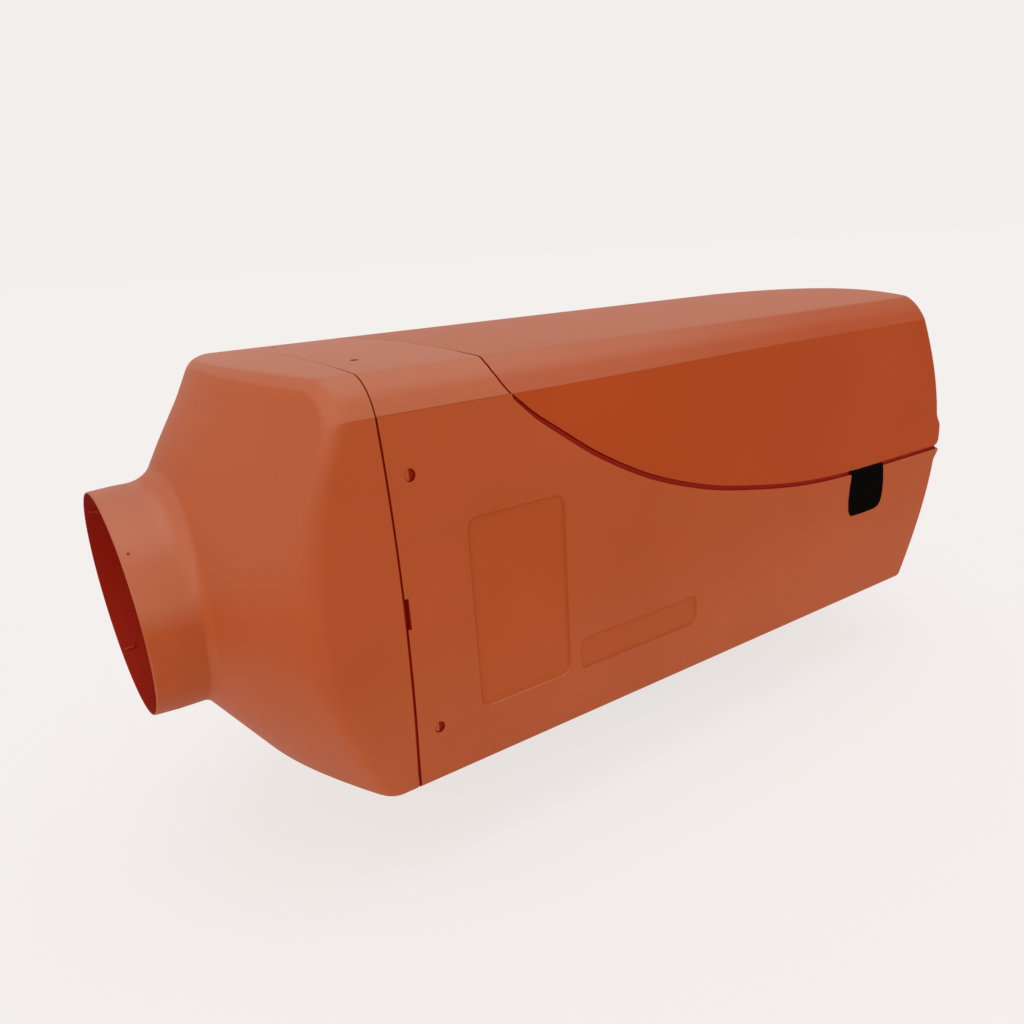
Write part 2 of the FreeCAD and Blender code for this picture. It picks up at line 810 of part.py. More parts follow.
# Lid with its two hooks under the bridge
def make_lid():
    walls = common("lid_walls", skin("lid_skin", "lid"),
                   above_curve("lid_region", "lid_front_gap", "lid_gap"))
    level = f"(crease_rise * {CURVE_SHARES[-1][1]} + lid_gap)"
    band = block("grip_band_high", ("casing_length - lid_end_depth", "casing_length + overrun"),
                 (f"-{HALF} - overrun", f"{HALF} + overrun"), (level, f"{level} + lid_grip_height"))
    lip = common("lid_grip", grip("lid_grip_ring", "lid"), band)
    hooks = []
    for name, side in (("right", "(-1)"), ("left", "1")):
        across = (f"{side} * hook_spacing / 2 - hook_width / 2",
                  f"{side} * hook_spacing / 2 + hook_width / 2")
        top = "(shoulder_rise + crown_rise / 2 - wall - hook_gap)"
        hooks.append(block(f"hook_tongue_{name}", ("lid_front - hook_reach", "lid_front + hook_reach"),
                           across, (f"{top} - hook_depth", top)))
        hooks.append(block(f"hook_root_{name}", ("lid_front + lid_front_gap", "lid_front + hook_reach"),
                           across, (top, "shoulder_rise + crown_rise / 2 - wall / 2")))
    tool = rod("lid_intake_tool", "X", "intake_radius", "end_wall + grip_depth + 2 * overrun",
               "casing_length - end_wall - overrun")
    return seat(cut("lid", fuse("lid_solid", walls, lip, *hooks), tool))


# Outlet hood with its duct collar and spigot
CONE_RUN = "sqrt(hood_depth ^ 2 + (hood_cone_radius - collar_radius) ^ 2)"
CONE_RISE = "(hood_cone_radius - collar_radius)"


def make_outlet_hood():
    rim = "(-hood_depth - collar_length)"
    back = f"(-{SEAM})"
    bow = f"collar_root * {CONE_RISE} / ({CONE_RUN} - hood_depth)"
    outer = turned("hood_turned", [
        (rim, "collar_radius - collar_wall"),
        (rim, "collar_radius - collar_lead"),
        (f"{rim} + collar_lead_length", "collar_radius"),
        ("-hood_depth - collar_root", "collar_radius"),
        (f"-hood_depth + collar_root * hood_depth / {CONE_RUN}",
         f"collar_radius + collar_root * {CONE_RISE} / {CONE_RUN}"),
        ("0", "hood_cone_radius"),
        ("0", "collar_radius - collar_wall"),
    ], {3: bow})
    block_form = common("hood_sharp", outer, prism("hood_prism", rim, back, "0"))
    front = soften("hood_front", block_form, "hood_edge_round",
                   lambda edge: on_cone(edge, "-hood_depth", "collar_radius", "0", "hood_cone_radius"))
    hollow_cone = cone("hood_hollow_cone", "-hood_depth + hood_wall", "collar_radius",
                       "hood_wall", "hood_cone_radius")
    hollow = common("hood_hollow", hollow_cone, prism("hood_inner", rim, "overrun", "wall"))
    shell = cut("hood_shell", front, hollow)
    edge = "(-spigot_root)"
    sleeve = cut("spigot", prism("spigot_outer", edge, "spigot_length", "wall + spigot_gap"),
                 prism("spigot_inner", f"{edge} - overrun", "spigot_length + overrun",
                       "wall + spigot_gap + spigot_wall"))
    foot = cut("spigot_foot", prism("spigot_foot_outer", edge, back, "wall / 2"),
               prism("spigot_foot_inner", f"{edge} - overrun", "0", "wall + spigot_gap + spigot_wall"))
    ribs = body("collar_ribs")
    inside = "(collar_radius - collar_wall)"
    profile = outline(sketch(ribs, "XZ_Plane"), [
        (f"{rim} + collar_rib_height", f"{inside} + collar_wall / 2"),
        (f"{rim} + 2 * collar_rib_height", f"{inside} - collar_rib_height"),
        (f"{rim} + collar_rib_length", f"{inside} - collar_rib_height"),
        (f"{rim} + collar_rib_length", f"{inside} + collar_wall / 2"),
    ])
    around(ribs, pad(ribs, profile, "collar_rib_height", both_ways=True), COLLAR_RIB_COUNT)
    return seat(fuse("outlet_hood", shell, sleeve, foot, ribs))


# Rubber plugs in the cable outlets
def make_cable_plug(label, side):
    """Rounded plug with a flange behind the wall; side is -1 on the photographed side."""
    outside = f"({HALF} + plug_proud)"
    behind = f"({HALF} - wall - lip_gap - lip_wall - seat_gap)"
    inside = f"({behind} - plug_flange_wall)"
    made = body(label)
    corners, arcs = outlet_outline("plug_gap", "lid_gap - 2 * plug_gap")
    profile = outline(sketch(made, "XZ_Plane"), corners, arcs)
    pad(made, profile, f"{outside} - {behind}")
    start = behind if side < 0 else f"-{outside}"
    bind(profile, AttachmentOffset__Base__z=start)
    flange, flange_arcs = outlet_outline("(plug_gap - plug_flange)", "(-plug_gap)")
    back = outline(sketch(made, "XZ_Plane"), flange, flange_arcs)
    bind(back, AttachmentOffset__Base__z=inside if side < 0 else f"-{behind}")
    pad(made, back, "plug_flange_wall")
    return seat(made)


# Intake grille at the fan end
def make_inlet_grille():
    outer = "(intake_radius - grille_gap)"
    face = "(casing_length - end_wall)"
    frame = turned("grille_frame", [
        ("casing_length - grille_depth", f"{outer} - grille_rim"),
        ("casing_length", f"{outer} - grille_rim"),
        ("casing_length", outer),
        (face, outer),
        (face, f"{outer} + grille_flange"),
        (f"{face} - grille_flange_wall", f"{outer} + grille_flange"),
        (f"{face} - grille_flange_wall", outer),
        ("casing_length - grille_depth", outer),
    ])
    relief = block("grille_relief", (f"{face} - seat_gap", "casing_length + overrun"),
                   ("-casing_width / 2", "casing_width / 2"),
                   (f"{OUTLET_TOP} - grip_height", "intake_radius + 2 * grille_flange"))
    core = rod("grille_relief_core", "X", outer, "2 * overrun + end_wall", f"{face} - overrun")
    pieces = [cut("grille_trimmed", frame, cut("grille_relief_ring", relief, core))]
    start = "(casing_length - grille_depth / 2)"
    pieces.append(rod("grille_hub", "X", "grille_hub_radius", "grille_depth / 2", start))
    for number in range(GRILLE_RING_COUNT):
        middle = f"(grille_hub_radius + {number + 1} * grille_ring_pitch)"
        pieces.append(tube(f"grille_ring_{number + 1}", start, "casing_length",
                           f"{middle} + grille_ring_wall / 2", f"{middle} - grille_ring_wall / 2"))
    spokes = body("grille_spokes")
    profile = outline(sketch(spokes, "XZ_Plane"), [
        (start, "grille_hub_radius / 2"),
        ("casing_length", "grille_hub_radius / 2"),
        ("casing_length", f"{outer} - grille_rim / 2"),
        (start, f"{outer} - grille_rim / 2"),
    ])
    around(spokes, pad(spokes, profile, "grille_spoke", both_ways=True), GRILLE_SPOKE_COUNT)
    return seat(fuse("inlet_grille", *pieces, spokes))


# Finned heat exchanger with its foot
def make_heat_exchanger():
    cavity = "(core_radius - core_wall)"
    made = body("exchanger_core")
    spin(made, outline(sketch(made, "XZ_Plane"), [
        ("exchanger_start", "0"),
        ("exchanger_start + core_wall", "0"),
        ("exchanger_start + core_wall", f"{cavity} - dome_round + core_wall"),
        ("exchanger_start + dome_round", cavity),
        (f"{REAR} - head_wall", cavity),
        (f"{REAR} - head_wall", "head_radius + head_seat_gap"),
        (REAR, "head_radius + head_seat_gap"),
        (REAR, "flange_radius"),
        (f"{REAR} - flange_wall", "flange_radius"),
        (f"{REAR} - flange_wall", "core_radius"),
        ("exchanger_start + dome_round", "core_radius"),
        ("exchanger_start", "core_radius - dome_round"),
    ], {2: "-(dome_round - core_wall)", 10: "dome_round"}))
    fin = outline(sketch(made, "XZ_Plane"), [
        ("exchanger_start + fin_inset", "core_radius - core_wall / 2"),
        (f"{REAR} - flange_wall - fin_clear", "core_radius - core_wall / 2"),
        (f"{REAR} - flange_wall - fin_clear", "fin_radius"),
        ("exchanger_start + 2 * fin_inset", "fin_radius"),
        ("exchanger_start + fin_inset", "fin_radius - fin_inset"),
    ])
    around(made, pad(made, fin, "fin_wall", both_ways=True), FIN_COUNT)
    left, right = "(seam_to_foot - foot_length / 2)", "(seam_to_foot + foot_length / 2)"
    neck = "(foot_neck_width / 2)"
    plate = block("foot_plate_block", (left, right), ("-foot_width / 2", "foot_width / 2"),
                  (PLATE_BASE, PLATE_TOP))
    pillar = block("foot_pillar", (left, right), (f"-{neck}", neck),
                   (f"{PLATE_TOP} - foot_plate / 2", "-core_radius + core_wall"))
    boss = rod("glow_boss", "Z", "plug_boss_radius", f"plug_boss_rise - ({cavity})", "plug_x", "0", cavity)
    solid = fuse("exchanger_solid", made, plate, pillar, boss)
    sensor_front = "sensor_x - 2 * sensor_radius"
    tools = [
        rod("exchanger_bore", "X", cavity, f"{REAR} - exchanger_start - dome_round",
            "exchanger_start + dome_round"),
        rod("head_seat_bore", "X", "head_radius + head_seat_gap", "head_wall + overrun",
            f"{REAR} - head_wall"),
        rod("glow_clearance", "Z", "plug_hex + 2 * plug_gap + running_gap", "fin_radius", "plug_x", "0",
            "plug_boss_rise"),
        rod("exhaust_bore", "Z", "exhaust_radius - exhaust_wall", f"axis_rise + foot_height - {cavity} / 2",
            "exhaust_x", "0", FOOT),
        rod("exhaust_seat_bore", "Z", "exhaust_radius - pipe_step + pipe_fit", "exhaust_seat",
            "exhaust_x", "0", PLATE_BASE),
        rod("fuel_bore", "Z", "fuel_pipe_radius - pipe_step + pipe_fit",
            f"axis_rise + foot_height - {cavity} / 2", "plug_x", "fuel_offset", FOOT),
        rod("glow_bore", "Z", "plug_body_radius + pipe_fit", "plug_boss_rise + overrun", "plug_x", "0",
            "socket_rise - overrun"),
        block("sensor_pocket_tool", (sensor_front, f"{sensor_front} + sensor_pocket"),
              ("-sensor_pocket_width / 2", "sensor_pocket_width / 2"),
              ("core_radius", "fin_radius + overrun")),
    ]
    tools += [rod(f"stud_bore_{n}", "Z", "stud_radius - pipe_step", "stud_length - stud_reach", x, y,
                  PLATE_BASE)
              for n, (x, y) in enumerate(stud_places(), start=1)]
    tools += [rod(f"flange_bore_{n}", "X", "screw_shank",
                  "screw_depth - housing_plate - gasket_wall + overrun",
                  f"{REAR} - (screw_depth - housing_plate)", y, z)
              for n, (y, z) in enumerate(blower_screw_places(), start=1)]
    return seat(cut("heat_exchanger", solid, *tools))


def stud_places():
    """Centres of the four studs."""
    return [(f"seam_to_foot + {a} * stud_spacing_x / 2", f"{b} * stud_spacing_y / 2")
            for a in ("(-1)", "1") for b in ("(-1)", "1")]


def blower_screw_places():
    """Centres of the four blower screws, on the diagonals."""
    off = "blower_screw_radius / sqrt(2)"
    return [(f"{a} * {off}", f"{b} * {off}") for a in ("(-1)", "1") for b in ("(-1)", "1")]


# Burner
def make_burner():
    cup_start = f"({REAR} - cup_length)"
    head = turned("head_turned", [
        (cup_start, "cup_radius - cup_wall"),
        (f"{REAR} - head_wall", "cup_radius - cup_wall"),
        (f"{REAR} - head_wall", "cup_inlet_radius"),
        (REAR, "cup_inlet_radius"),
        (REAR, "head_radius"),
        (f"{REAR} - head_wall", "head_radius"),
        (f"{REAR} - head_wall", "cup_radius"),
        (cup_start, "cup_radius"),
    ])
    low = "(cup_radius - 2 * cup_wall)"
    tower = rod("glow_tower", "Z", "screen_radius + socket_wall", f"socket_rise - {low}", "plug_x", "0", low)
    nozzle = rod("fuel_nozzle", "Z", "2 * fuel_pipe_radius", "2 * cup_wall + fuel_pipe_radius",
                 "plug_x", "fuel_offset", "-cup_radius - fuel_pipe_radius")
    tools = [
        rod("glow_tower_bore", "Z", "screen_radius + seat_gap", "socket_rise", "plug_x", "0", "pin_end"),
        rod("fuel_nozzle_bore", "Z", "fuel_pipe_radius - pipe_step + pipe_fit", "cup_radius",
            "plug_x", "fuel_offset", "-cup_radius - overrun"),
    ]
    seat(cut("burner_head", fuse("head_solid", head, tower, nozzle), *tools))
    inner = "(cup_radius + tube_gap)"
    seat(tube("flame_tube", "exchanger_start + tube_front", f"{cup_start} + tube_overlap",
              f"{inner} + tube_wall", inner))
    sleeve_base = "(socket_rise - screen_length)"
    sleeve = rod("screen_outer", "Z", "screen_radius", "screen_length", "plug_x", "0", sleeve_base)
    hollow = rod("screen_inner", "Z", "screen_radius - screen_wall", "screen_length + 2 * overrun",
                 "plug_x", "0", f"{sleeve_base} - overrun")
    seat(cut("atomiser_screen", sleeve, hollow))
    boss = "plug_boss_rise"
    seat(fuse("glow_plug",
              rod("glow_pin", "Z", "pin_radius", "socket_rise - pin_end + overrun", "plug_x", "0", "pin_end"),
              rod("glow_body", "Z", "plug_body_radius", f"{boss} - socket_rise", "plug_x", "0",
                  "socket_rise"),
              hexagon("glow_hex", "plug_hex", "plug_hex_height", "plug_x", boss),
              rod("glow_terminal", "Z", "terminal_radius", "terminal_height + overrun / 2", "plug_x", "0",
                  f"{boss} + plug_hex_height - overrun / 2")))


def hexagon(label, radius, height, x, z):
    """Upright hexagon."""
    made = doc.addObject("Part::Prism", label)
    made.Polygon = 6
    bind(made, Circumradius=radius, Height=height)
    return bind(made, Placement__Base__x=x, Placement__Base__z=z)


# Flat gaskets
def make_gaskets():
    flat = turned("burner_gasket_disc", [(REAR, "cup_inlet_radius"), (BLOWER, "cup_inlet_radius"),
                                         (BLOWER, "flange_radius"), (REAR, "flange_radius")])
    tools = [rod(f"burner_gasket_hole_{n}", "X", "screw_shank + running_gap", "gasket_wall + 2 * overrun",
                 f"{REAR} - overrun", y, z) for n, (y, z) in enumerate(blower_screw_places(), start=1)]
    seat(cut("burner_gasket", flat, *tools))
    left = "(seam_to_foot - foot_length / 2)"
    sheet_block = block("foot_gasket_sheet", (left, f"{left} + gasket_length"),
                        ("-gasket_width / 2 + cutout_margin", "gasket_width / 2 - cutout_margin"),
                        (FOOT, PLATE_BASE))
    places = [("exhaust_radius + gasket_clear", "exhaust_x", "0"),
              ("air_stub_radius + gasket_clear", MID_CHAMBER, "0"),
              ("fuel_pipe_radius + gasket_clear", "plug_x", "fuel_offset")]
    places += [("stud_radius + gasket_clear", x, y) for x, y in stud_places()]
    holes = [rod(f"foot_gasket_hole_{n}", "Z", radius, "gasket_wall + 2 * overrun", x, y, f"{FOOT} - overrun")
             for n, (radius, x, y) in enumerate(places, start=1)]
    seat(cut("foot_gasket", sheet_block, *holes))


# Pipes and studs
def make_pipes():
    low = f"({FOOT} - pipe_reach)"
    rows = (
        ("exhaust_stub", "exhaust_radius", "exhaust_wall", "exhaust_x", "0", f"{PLATE_BASE} + exhaust_seat"),
        ("air_stub", "air_stub_radius", "air_stub_wall", MID_CHAMBER, "0", f"{AIR_BOSS} + air_stub_seat"),
        ("fuel_pipe", "fuel_pipe_radius", "fuel_pipe_wall", "plug_x", "fuel_offset",
         "-cup_radius + fuel_pipe_wall"),
    )
    for label, radius, thickness, x, y, top in rows:
        free = rod(label + "_free", "Z", radius, "pipe_reach", x, y, low)
        seated = rod(label + "_seated", "Z", f"{radius} - pipe_step", f"{top} - {low}", x, y, low)
        bore = rod(label + "_bore", "Z", f"{radius} - {thickness}", f"{top} - {low} + 2 * overrun", x, y,
                   f"{low} - overrun")
        seat(cut(label, fuse(label + "_solid", free, seated), bore))
    tip = f"({PLATE_BASE} - stud_reach)"
    studs = []
    for n, (x, y) in enumerate(stud_places(), start=1):
        free = rod(f"stud_free_{n}", "Z", "stud_radius", "stud_reach - gasket_wall", x, y, tip)
        seated = rod(f"stud_seated_{n}", "Z", "stud_radius - pipe_step", "stud_length", x, y, tip)
        studs.append(fuse(f"stud_{n}", free, seated))
    seat(group("foot_studs", *studs))


# Blower housing, its screws and the combustion impeller
def make_blower():
    shell = turned("housing_turned", [
        (BLOWER, "cup_inlet_radius"), (CHAMBER, "cup_inlet_radius"),
        (CHAMBER, "volute_radius - volute_wall"), (CHAMBER_END, "volute_radius - volute_wall"),
        (CHAMBER_END, "bearing_radius + running_gap"), (MOTOR, "bearing_radius + running_gap"),
        (MOTOR, "volute_radius"), (CHAMBER, "volute_radius"),
        (CHAMBER, "flange_radius"), (BLOWER, "flange_radius"),
    ])
    boss_top = "(-volute_radius + 2 * volute_wall)"
    boss = rod("air_boss", "Z", "air_stub_radius + air_boss_wall", f"{boss_top} - {AIR_BOSS}",
               MID_CHAMBER, "0", AIR_BOSS)
    room = rod("housing_room", "X", "volute_radius - volute_wall", "impeller_room", CHAMBER)
    tools = [
        room,
        rod("air_bore", "Z", "air_stub_radius - air_stub_wall", "axis_rise - volute_radius / 2",
            MID_CHAMBER, "0", AIR_BOSS),
        rod("air_seat", "Z", "air_stub_radius - pipe_step + pipe_fit", "air_stub_seat",
            MID_CHAMBER, "0", AIR_BOSS),
    ]
    front = block("housing_front", ("exchanger_start", BLOWER), (f"-{HALF}", HALF), (BASE, "0"))
    tools.append(front)
    tools += [rod(f"housing_hole_{n}", "X", "screw_shank + running_gap", "housing_plate + 2 * overrun",
                  f"{BLOWER} - overrun", y, z) for n, (y, z) in enumerate(blower_screw_places(), start=1)]
    seat(cut("blower_housing", fuse("housing_solid", shell, boss), *tools))
    screws = [socket_screw(f"blower_screw_{n}", y, z)
              for n, (y, z) in enumerate(blower_screw_places(), start=1)]
    seat(group("blower_screws", *screws))
    wheel = body("combustion_impeller")
    face = f"({CHAMBER_END} - impeller_clear)"
    spin(wheel, outline(sketch(wheel, "XZ_Plane"), [
        (f"{face} - impeller_disc - vane_height", "shaft_radius"),
        (face, "shaft_radius"),
        (face, "impeller_radius"),
        (f"{face} - impeller_disc", "impeller_radius"),
        (f"{face} - impeller_disc", "impeller_hub"),
        (f"{face} - impeller_disc - vane_height", "impeller_hub"),
    ]))
    vane = outline(sketch(wheel, "XZ_Plane"), [
        (f"{face} - impeller_disc - vane_height", "vane_inner"),
        (f"{face} - impeller_disc / 2", "vane_inner"),
        (f"{face} - impeller_disc / 2", "impeller_radius"),
        (f"{face} - impeller_disc - vane_height", "impeller_radius"),
    ])
    around(wheel, pad(wheel, vane, "vane_wall", both_ways=True), VANE_COUNT)
    seat(wheel)


def socket_screw(label, y, z):
    """Cap screw along the axis through the blower flange."""
    start = f"({CHAMBER} - screw_depth)"
    shank = rod(label + "_shank", "X", "screw_shank", "screw_depth", start, y, z)
    head = rod(label + "_head", "X", "screw_head", "screw_head_height", CHAMBER, y, z)
    well = rod(label + "_well", "X", "screw_socket", "screw_head_height",
               f"{CHAMBER} + screw_head_height / 2", y, z)
    return cut(label, fuse(label + "_solid", shank, head), well)


# Motor and the turning parts on its shaft
def make_motor():
    can_in = "(motor_radius - motor_wall)"
    hole = "(shaft_radius + 2 * running_gap)"
    pocket = "(bearing_radius + running_gap)"
    rear = f"({MOTOR_END} - motor_wall)"
    seat(turned("motor_can", [
        (MOTOR, can_in), (rear, can_in), (rear, f"{pocket} + bearing_pocket"),
        (f"{rear} - bearing_width", f"{pocket} + bearing_pocket"), (f"{rear} - bearing_width", pocket),
        (rear, pocket), (rear, f"{hole} + shaft_clear"), (MOTOR_END, f"{hole} + shaft_clear"),
        (MOTOR_END, "motor_radius"), (MOTOR, "motor_radius"),
    ]))
    middle = f"({MOTOR} + motor_length / 2)"
    seat(tube("motor_magnets", f"{middle} - magnet_length / 2", f"{middle} + magnet_length / 2",
              f"{can_in} - running_gap", f"{can_in} - magnet_wall"))
    seat(tube("rotor_core", f"{middle} - magnet_length / 2", f"{middle} + magnet_length / 2",
              f"{can_in} - magnet_wall - core_gap", "shaft_radius"))
    seat(tube("front_bearing", CHAMBER_END, f"{CHAMBER_END} + bearing_width", "bearing_radius", hole))
    seat(tube("rear_bearing", f"{rear} - bearing_width", rear, "bearing_radius", hole))
    start = f"({CHAMBER_END} - impeller_clear - impeller_disc - vane_height - shaft_clear)"
    seat(group("rotor_shaft", rod("shaft_bar", "X", "shaft_radius", f"{FAN_END} - {start} + nut_height / 2",
                                  start)))
    make_fan(hole)


def make_fan(hole):
    """Hot air fan with pitched blades, its nut and the magnet for the speed sensor."""
    wheel = body("fan_blades")
    half_x = "(blade_chord * cos(blade_pitch) / 2)"
    half_y = "(blade_chord * sin(blade_pitch) / 2)"
    half_t = "(blade_wall / cos(blade_pitch) / 2)"
    middle = f"({FAN} + fan_width / 2)"
    start = "(fan_hub - fan_hub_wall)"
    blade = outline(sketch(wheel, "XY_Plane", start), [
        (f"{middle} - {half_x}", f"-{half_y} - {half_t}"),
        (f"{middle} + {half_x}", f"{half_y} - {half_t}"),
        (f"{middle} + {half_x}", f"{half_y} + {half_t}"),
        (f"{middle} - {half_x}", f"-{half_y} + {half_t}"),
    ], {0: "(-blade_bow)", 2: "blade_bow"})
    around(wheel, pad(wheel, blade, f"fan_radius - {start}"), BLADE_COUNT)
    hub = turned("fan_hub_turned", [
        (FAN, "shaft_radius"), (FAN_END, "shaft_radius"),
        (FAN_END, "speed_magnet_orbit - speed_magnet_radius * 2"),
        (f"{FAN} + fan_hub_wall", "speed_magnet_orbit - speed_magnet_radius * 2"),
        (f"{FAN} + fan_hub_wall", "fan_hub - fan_hub_wall / 2"), (FAN_END, "fan_hub - fan_hub_wall / 2"),
        (FAN_END, "fan_hub"), (FAN, "fan_hub"),
    ])
    hold = rod("fan_room", "X", "fan_radius", "fan_width", FAN)
    blades = common("fan_blades_trimmed", wheel, hold)
    core = rod("fan_core_tool", "X", "fan_hub - fan_hub_wall / 2 - running_gap", "fan_width + 2 * overrun",
               f"{FAN} - overrun")
    rim = cut("fan_blades_open", blades, core)
    well = rod("speed_magnet_well", "X", "speed_magnet_radius + running_gap", "speed_magnet_length",
               f"{FAN} - speed_magnet_length + fan_hub_wall / 2", "0", "speed_magnet_orbit")
    seat(cut("fan_wheel", fuse("fan_solid", rim, hub), well))
    nut = rod("fan_nut_solid", "X", "nut_radius", "nut_height", FAN_END)
    bore = rod("fan_nut_bore", "X", "shaft_radius", "nut_height / 2", FAN_END)
    seat(cut("fan_nut", nut, bore))
    seat(group("speed_magnet", rod("speed_magnet_bar", "X", "speed_magnet_radius", "speed_magnet_length",
                                   f"{FAN} - speed_magnet_length + fan_hub_wall / 2", "0",
                                   "speed_magnet_orbit")))


# Carrier that clamps the motor, holds the fan ring and carries the control unit
def make_carrier():
    clamp = tube("carrier_clamp", "ring_start", "ring_start + clamp_length",
                 "motor_radius + running_gap + clamp_wall", "motor_radius + running_gap")
    ring_tube = tube("carrier_ring", "ring_start", "ring_end", "ring_radius", "ring_radius - ring_wall")
    strut = body("carrier_struts")
    profile = outline(sketch(strut, "XZ_Plane"), [
        ("ring_start", "motor_radius + clamp_wall / 2"),
        ("ring_start + clamp_length", "motor_radius + clamp_wall / 2"),
        ("ring_start + clamp_length", "ring_radius - ring_wall / 2"),
        ("ring_start", "ring_radius - ring_wall / 2"),
    ])
    around(strut, pad(strut, profile, "strut_wall", both_ways=True), STRUT_COUNT)
    deck = block("carrier_deck", ("ring_start", "ring_start + deck_length"),
                 ("-deck_width / 2", "deck_width / 2"), ("deck_rise - 2 * deck_depth", "deck_rise"))
    bore = rod("carrier_bore", "X", "ring_radius - ring_wall / 2", "deck_length + 2 * overrun",
               "ring_start - overrun")
    seat(fuse("blower_carrier", clamp, ring_tube, strut, cut("carrier_deck_cut", deck, bore)))


# Control unit
def rounded_box(label, x, y, z, rounding):
    """Box with its upright edges rounded."""
    made = body(label)
    corners = [
        (f"{x[0]} + {rounding}", y[0]), (f"{x[1]} - {rounding}", y[0]),
        (x[1], f"{y[0]} + {rounding}"), (x[1], f"{y[1]} - {rounding}"),
        (f"{x[1]} - {rounding}", y[1]), (f"{x[0]} + {rounding}", y[1]),
        (x[0], f"{y[1]} - {rounding}"), (x[0], f"{y[0]} + {rounding}"),
    ]
    profile = outline(sketch(made, "XY_Plane", z[0]), corners,
                      {1: rounding, 3: rounding, 5: rounding, 7: rounding})
    pad(made, profile, f"{z[1]} - ({z[0]})")
    return made


def make_control_unit():
    x = ("unit_start", "(unit_start + unit_length)")
    y = ("(-unit_width / 2)", "(unit_width / 2)")
    top = f"({UNIT_BASE} + unit_height)"
    shell = rounded_box("unit_shell", x, y, (UNIT_BASE, top), "unit_round")
    inner_x = ("unit_start + unit_wall", "(unit_start + unit_length - unit_wall)")
    inner_y = ("(-unit_width / 2 + unit_wall)", "(unit_width / 2 - unit_wall)")
    room = rounded_box("unit_room", inner_x, inner_y, (f"({UNIT_BASE} + unit_wall)", f"({top} + overrun)"),
                       "(unit_round - unit_wall / 2)")
    posts = [rod(f"unit_post_{n}", "Z", "2 * unit_screw_shank", "unit_height", px, py, UNIT_BASE)
             for n, (px, py) in enumerate(unit_screw_places(), start=1)]
    wells = [rod(f"unit_well_{n}", "Z", "unit_screw_shank", "unit_screw_depth + overrun", px, py,
                 f"{top} + unit_cover - unit_screw_depth")
             for n, (px, py) in enumerate(unit_screw_places(), start=1)]
    ledges = [block(f"board_ledge_{n}", (place, f"{place} + 2 * unit_wall"), inner_y,
                    (UNIT_BASE, f"{UNIT_BASE} + board_rise"))
              for n, place in enumerate(("unit_start + unit_wall / 2 + 2 * unit_screw_inset",
                                         "unit_start + unit_length - 3 * unit_screw_inset"), start=1)]
    housing = fuse("unit_solid", cut("unit_hollow", shell, room), *posts, *ledges)
    seat(cut("control_housing", housing, *wells))
    cover = rounded_box("unit_cover_plate", x, y, (top, f"({top} + unit_cover)"), "unit_round")
    through = [rod(f"cover_hole_{n}", "Z", "unit_screw_shank + running_gap",
                   "unit_cover + 2 * overrun", px, py, f"{top} - overrun")
               for n, (px, py) in enumerate(unit_screw_places(), start=1)]
    seat(cut("control_cover", cover, *through))
    board = rounded_box("board_plate", (f"{inner_x[0]} + board_gap", f"({inner_x[1]} - board_gap)"),
                        (f"({inner_y[0]} + board_gap)", f"({inner_y[1]} - board_gap)"),
                        (f"({UNIT_BASE} + board_rise)", f"({UNIT_BASE} + board_rise + board_wall)"),
                        "(unit_round - unit_wall)")
    slots = [rod(f"board_hole_{n}", "Z", "2 * unit_screw_shank + board_gap",
                 "board_wall + 2 * overrun", px, py, f"{UNIT_BASE} + board_rise - overrun")
             for n, (px, py) in enumerate(unit_screw_places(), start=1)]
    seat(cut("circuit_board", board, *slots))
    screws = []
    for n, (px, py) in enumerate(unit_screw_places(), start=1):
        base = f"({top} + unit_cover - unit_screw_depth)"
        shank = rod(f"unit_screw_shank_{n}", "Z", "unit_screw_shank", "unit_screw_depth", px, py, base)
        head = rod(f"unit_screw_head_{n}", "Z", "unit_screw_head", "unit_screw_head_height", px, py,
                   f"{top} + unit_cover")
        screws.append(fuse(f"unit_screw_{n}", shank, head))
    seat(group("control_screws", *screws))
    end = "(unit_start + unit_length)"
    middle = f"({UNIT_BASE} + unit_height / 2)"
    case = block("loom_case", (end, f"{end} + socket_length"), ("-socket_width / 2", "socket_width / 2"),
                 (f"{middle} - socket_height / 2", f"{middle} + socket_height / 2"))
    well = block("loom_well", (f"{end} + socket_length - socket_well", f"{end} + socket_length + overrun"),
                 ("-socket_width / 2 + unit_wall", "socket_width / 2 - unit_wall"),
                 (f"{middle} - socket_height / 2 + unit_wall", f"{middle} + socket_height / 2 - unit_wall"))
    seat(cut("loom_socket", case, well))


def unit_screw_places():
    """Centres of the control unit's cover screws."""
    far_x = "(unit_length - unit_screw_inset)"
    across = "(unit_width / 2 - unit_screw_inset)"
    return [(f"unit_start + {x}", f"{side} * {across}")
            for x in ("unit_screw_inset", far_x) for side in ("(-1)", "1")]


# Overheat sensor and the leads
def make_sensor():
    seat(group("overheat_sensor", rod("sensor_button", "Z", "sensor_radius", "sensor_height", "sensor_x", "0",
                                      "core_radius")))
    top = "(core_radius + sensor_height)"
    strip = block("clip_strip", ("sensor_x - sensor_radius", "sensor_x + clip_length - sensor_radius"),
                  ("-clip_width / 2", "clip_width / 2"), (top, f"{top} + clip_wall"))
    tab_x = "(sensor_x + clip_length - sensor_radius)"
    tab = block("clip_tab", (f"{tab_x} - clip_wall", tab_x), ("-clip_width / 2", "clip_width / 2"),
                ("core_radius", top))
    seat(fuse("sensor_clip", strip, tab))


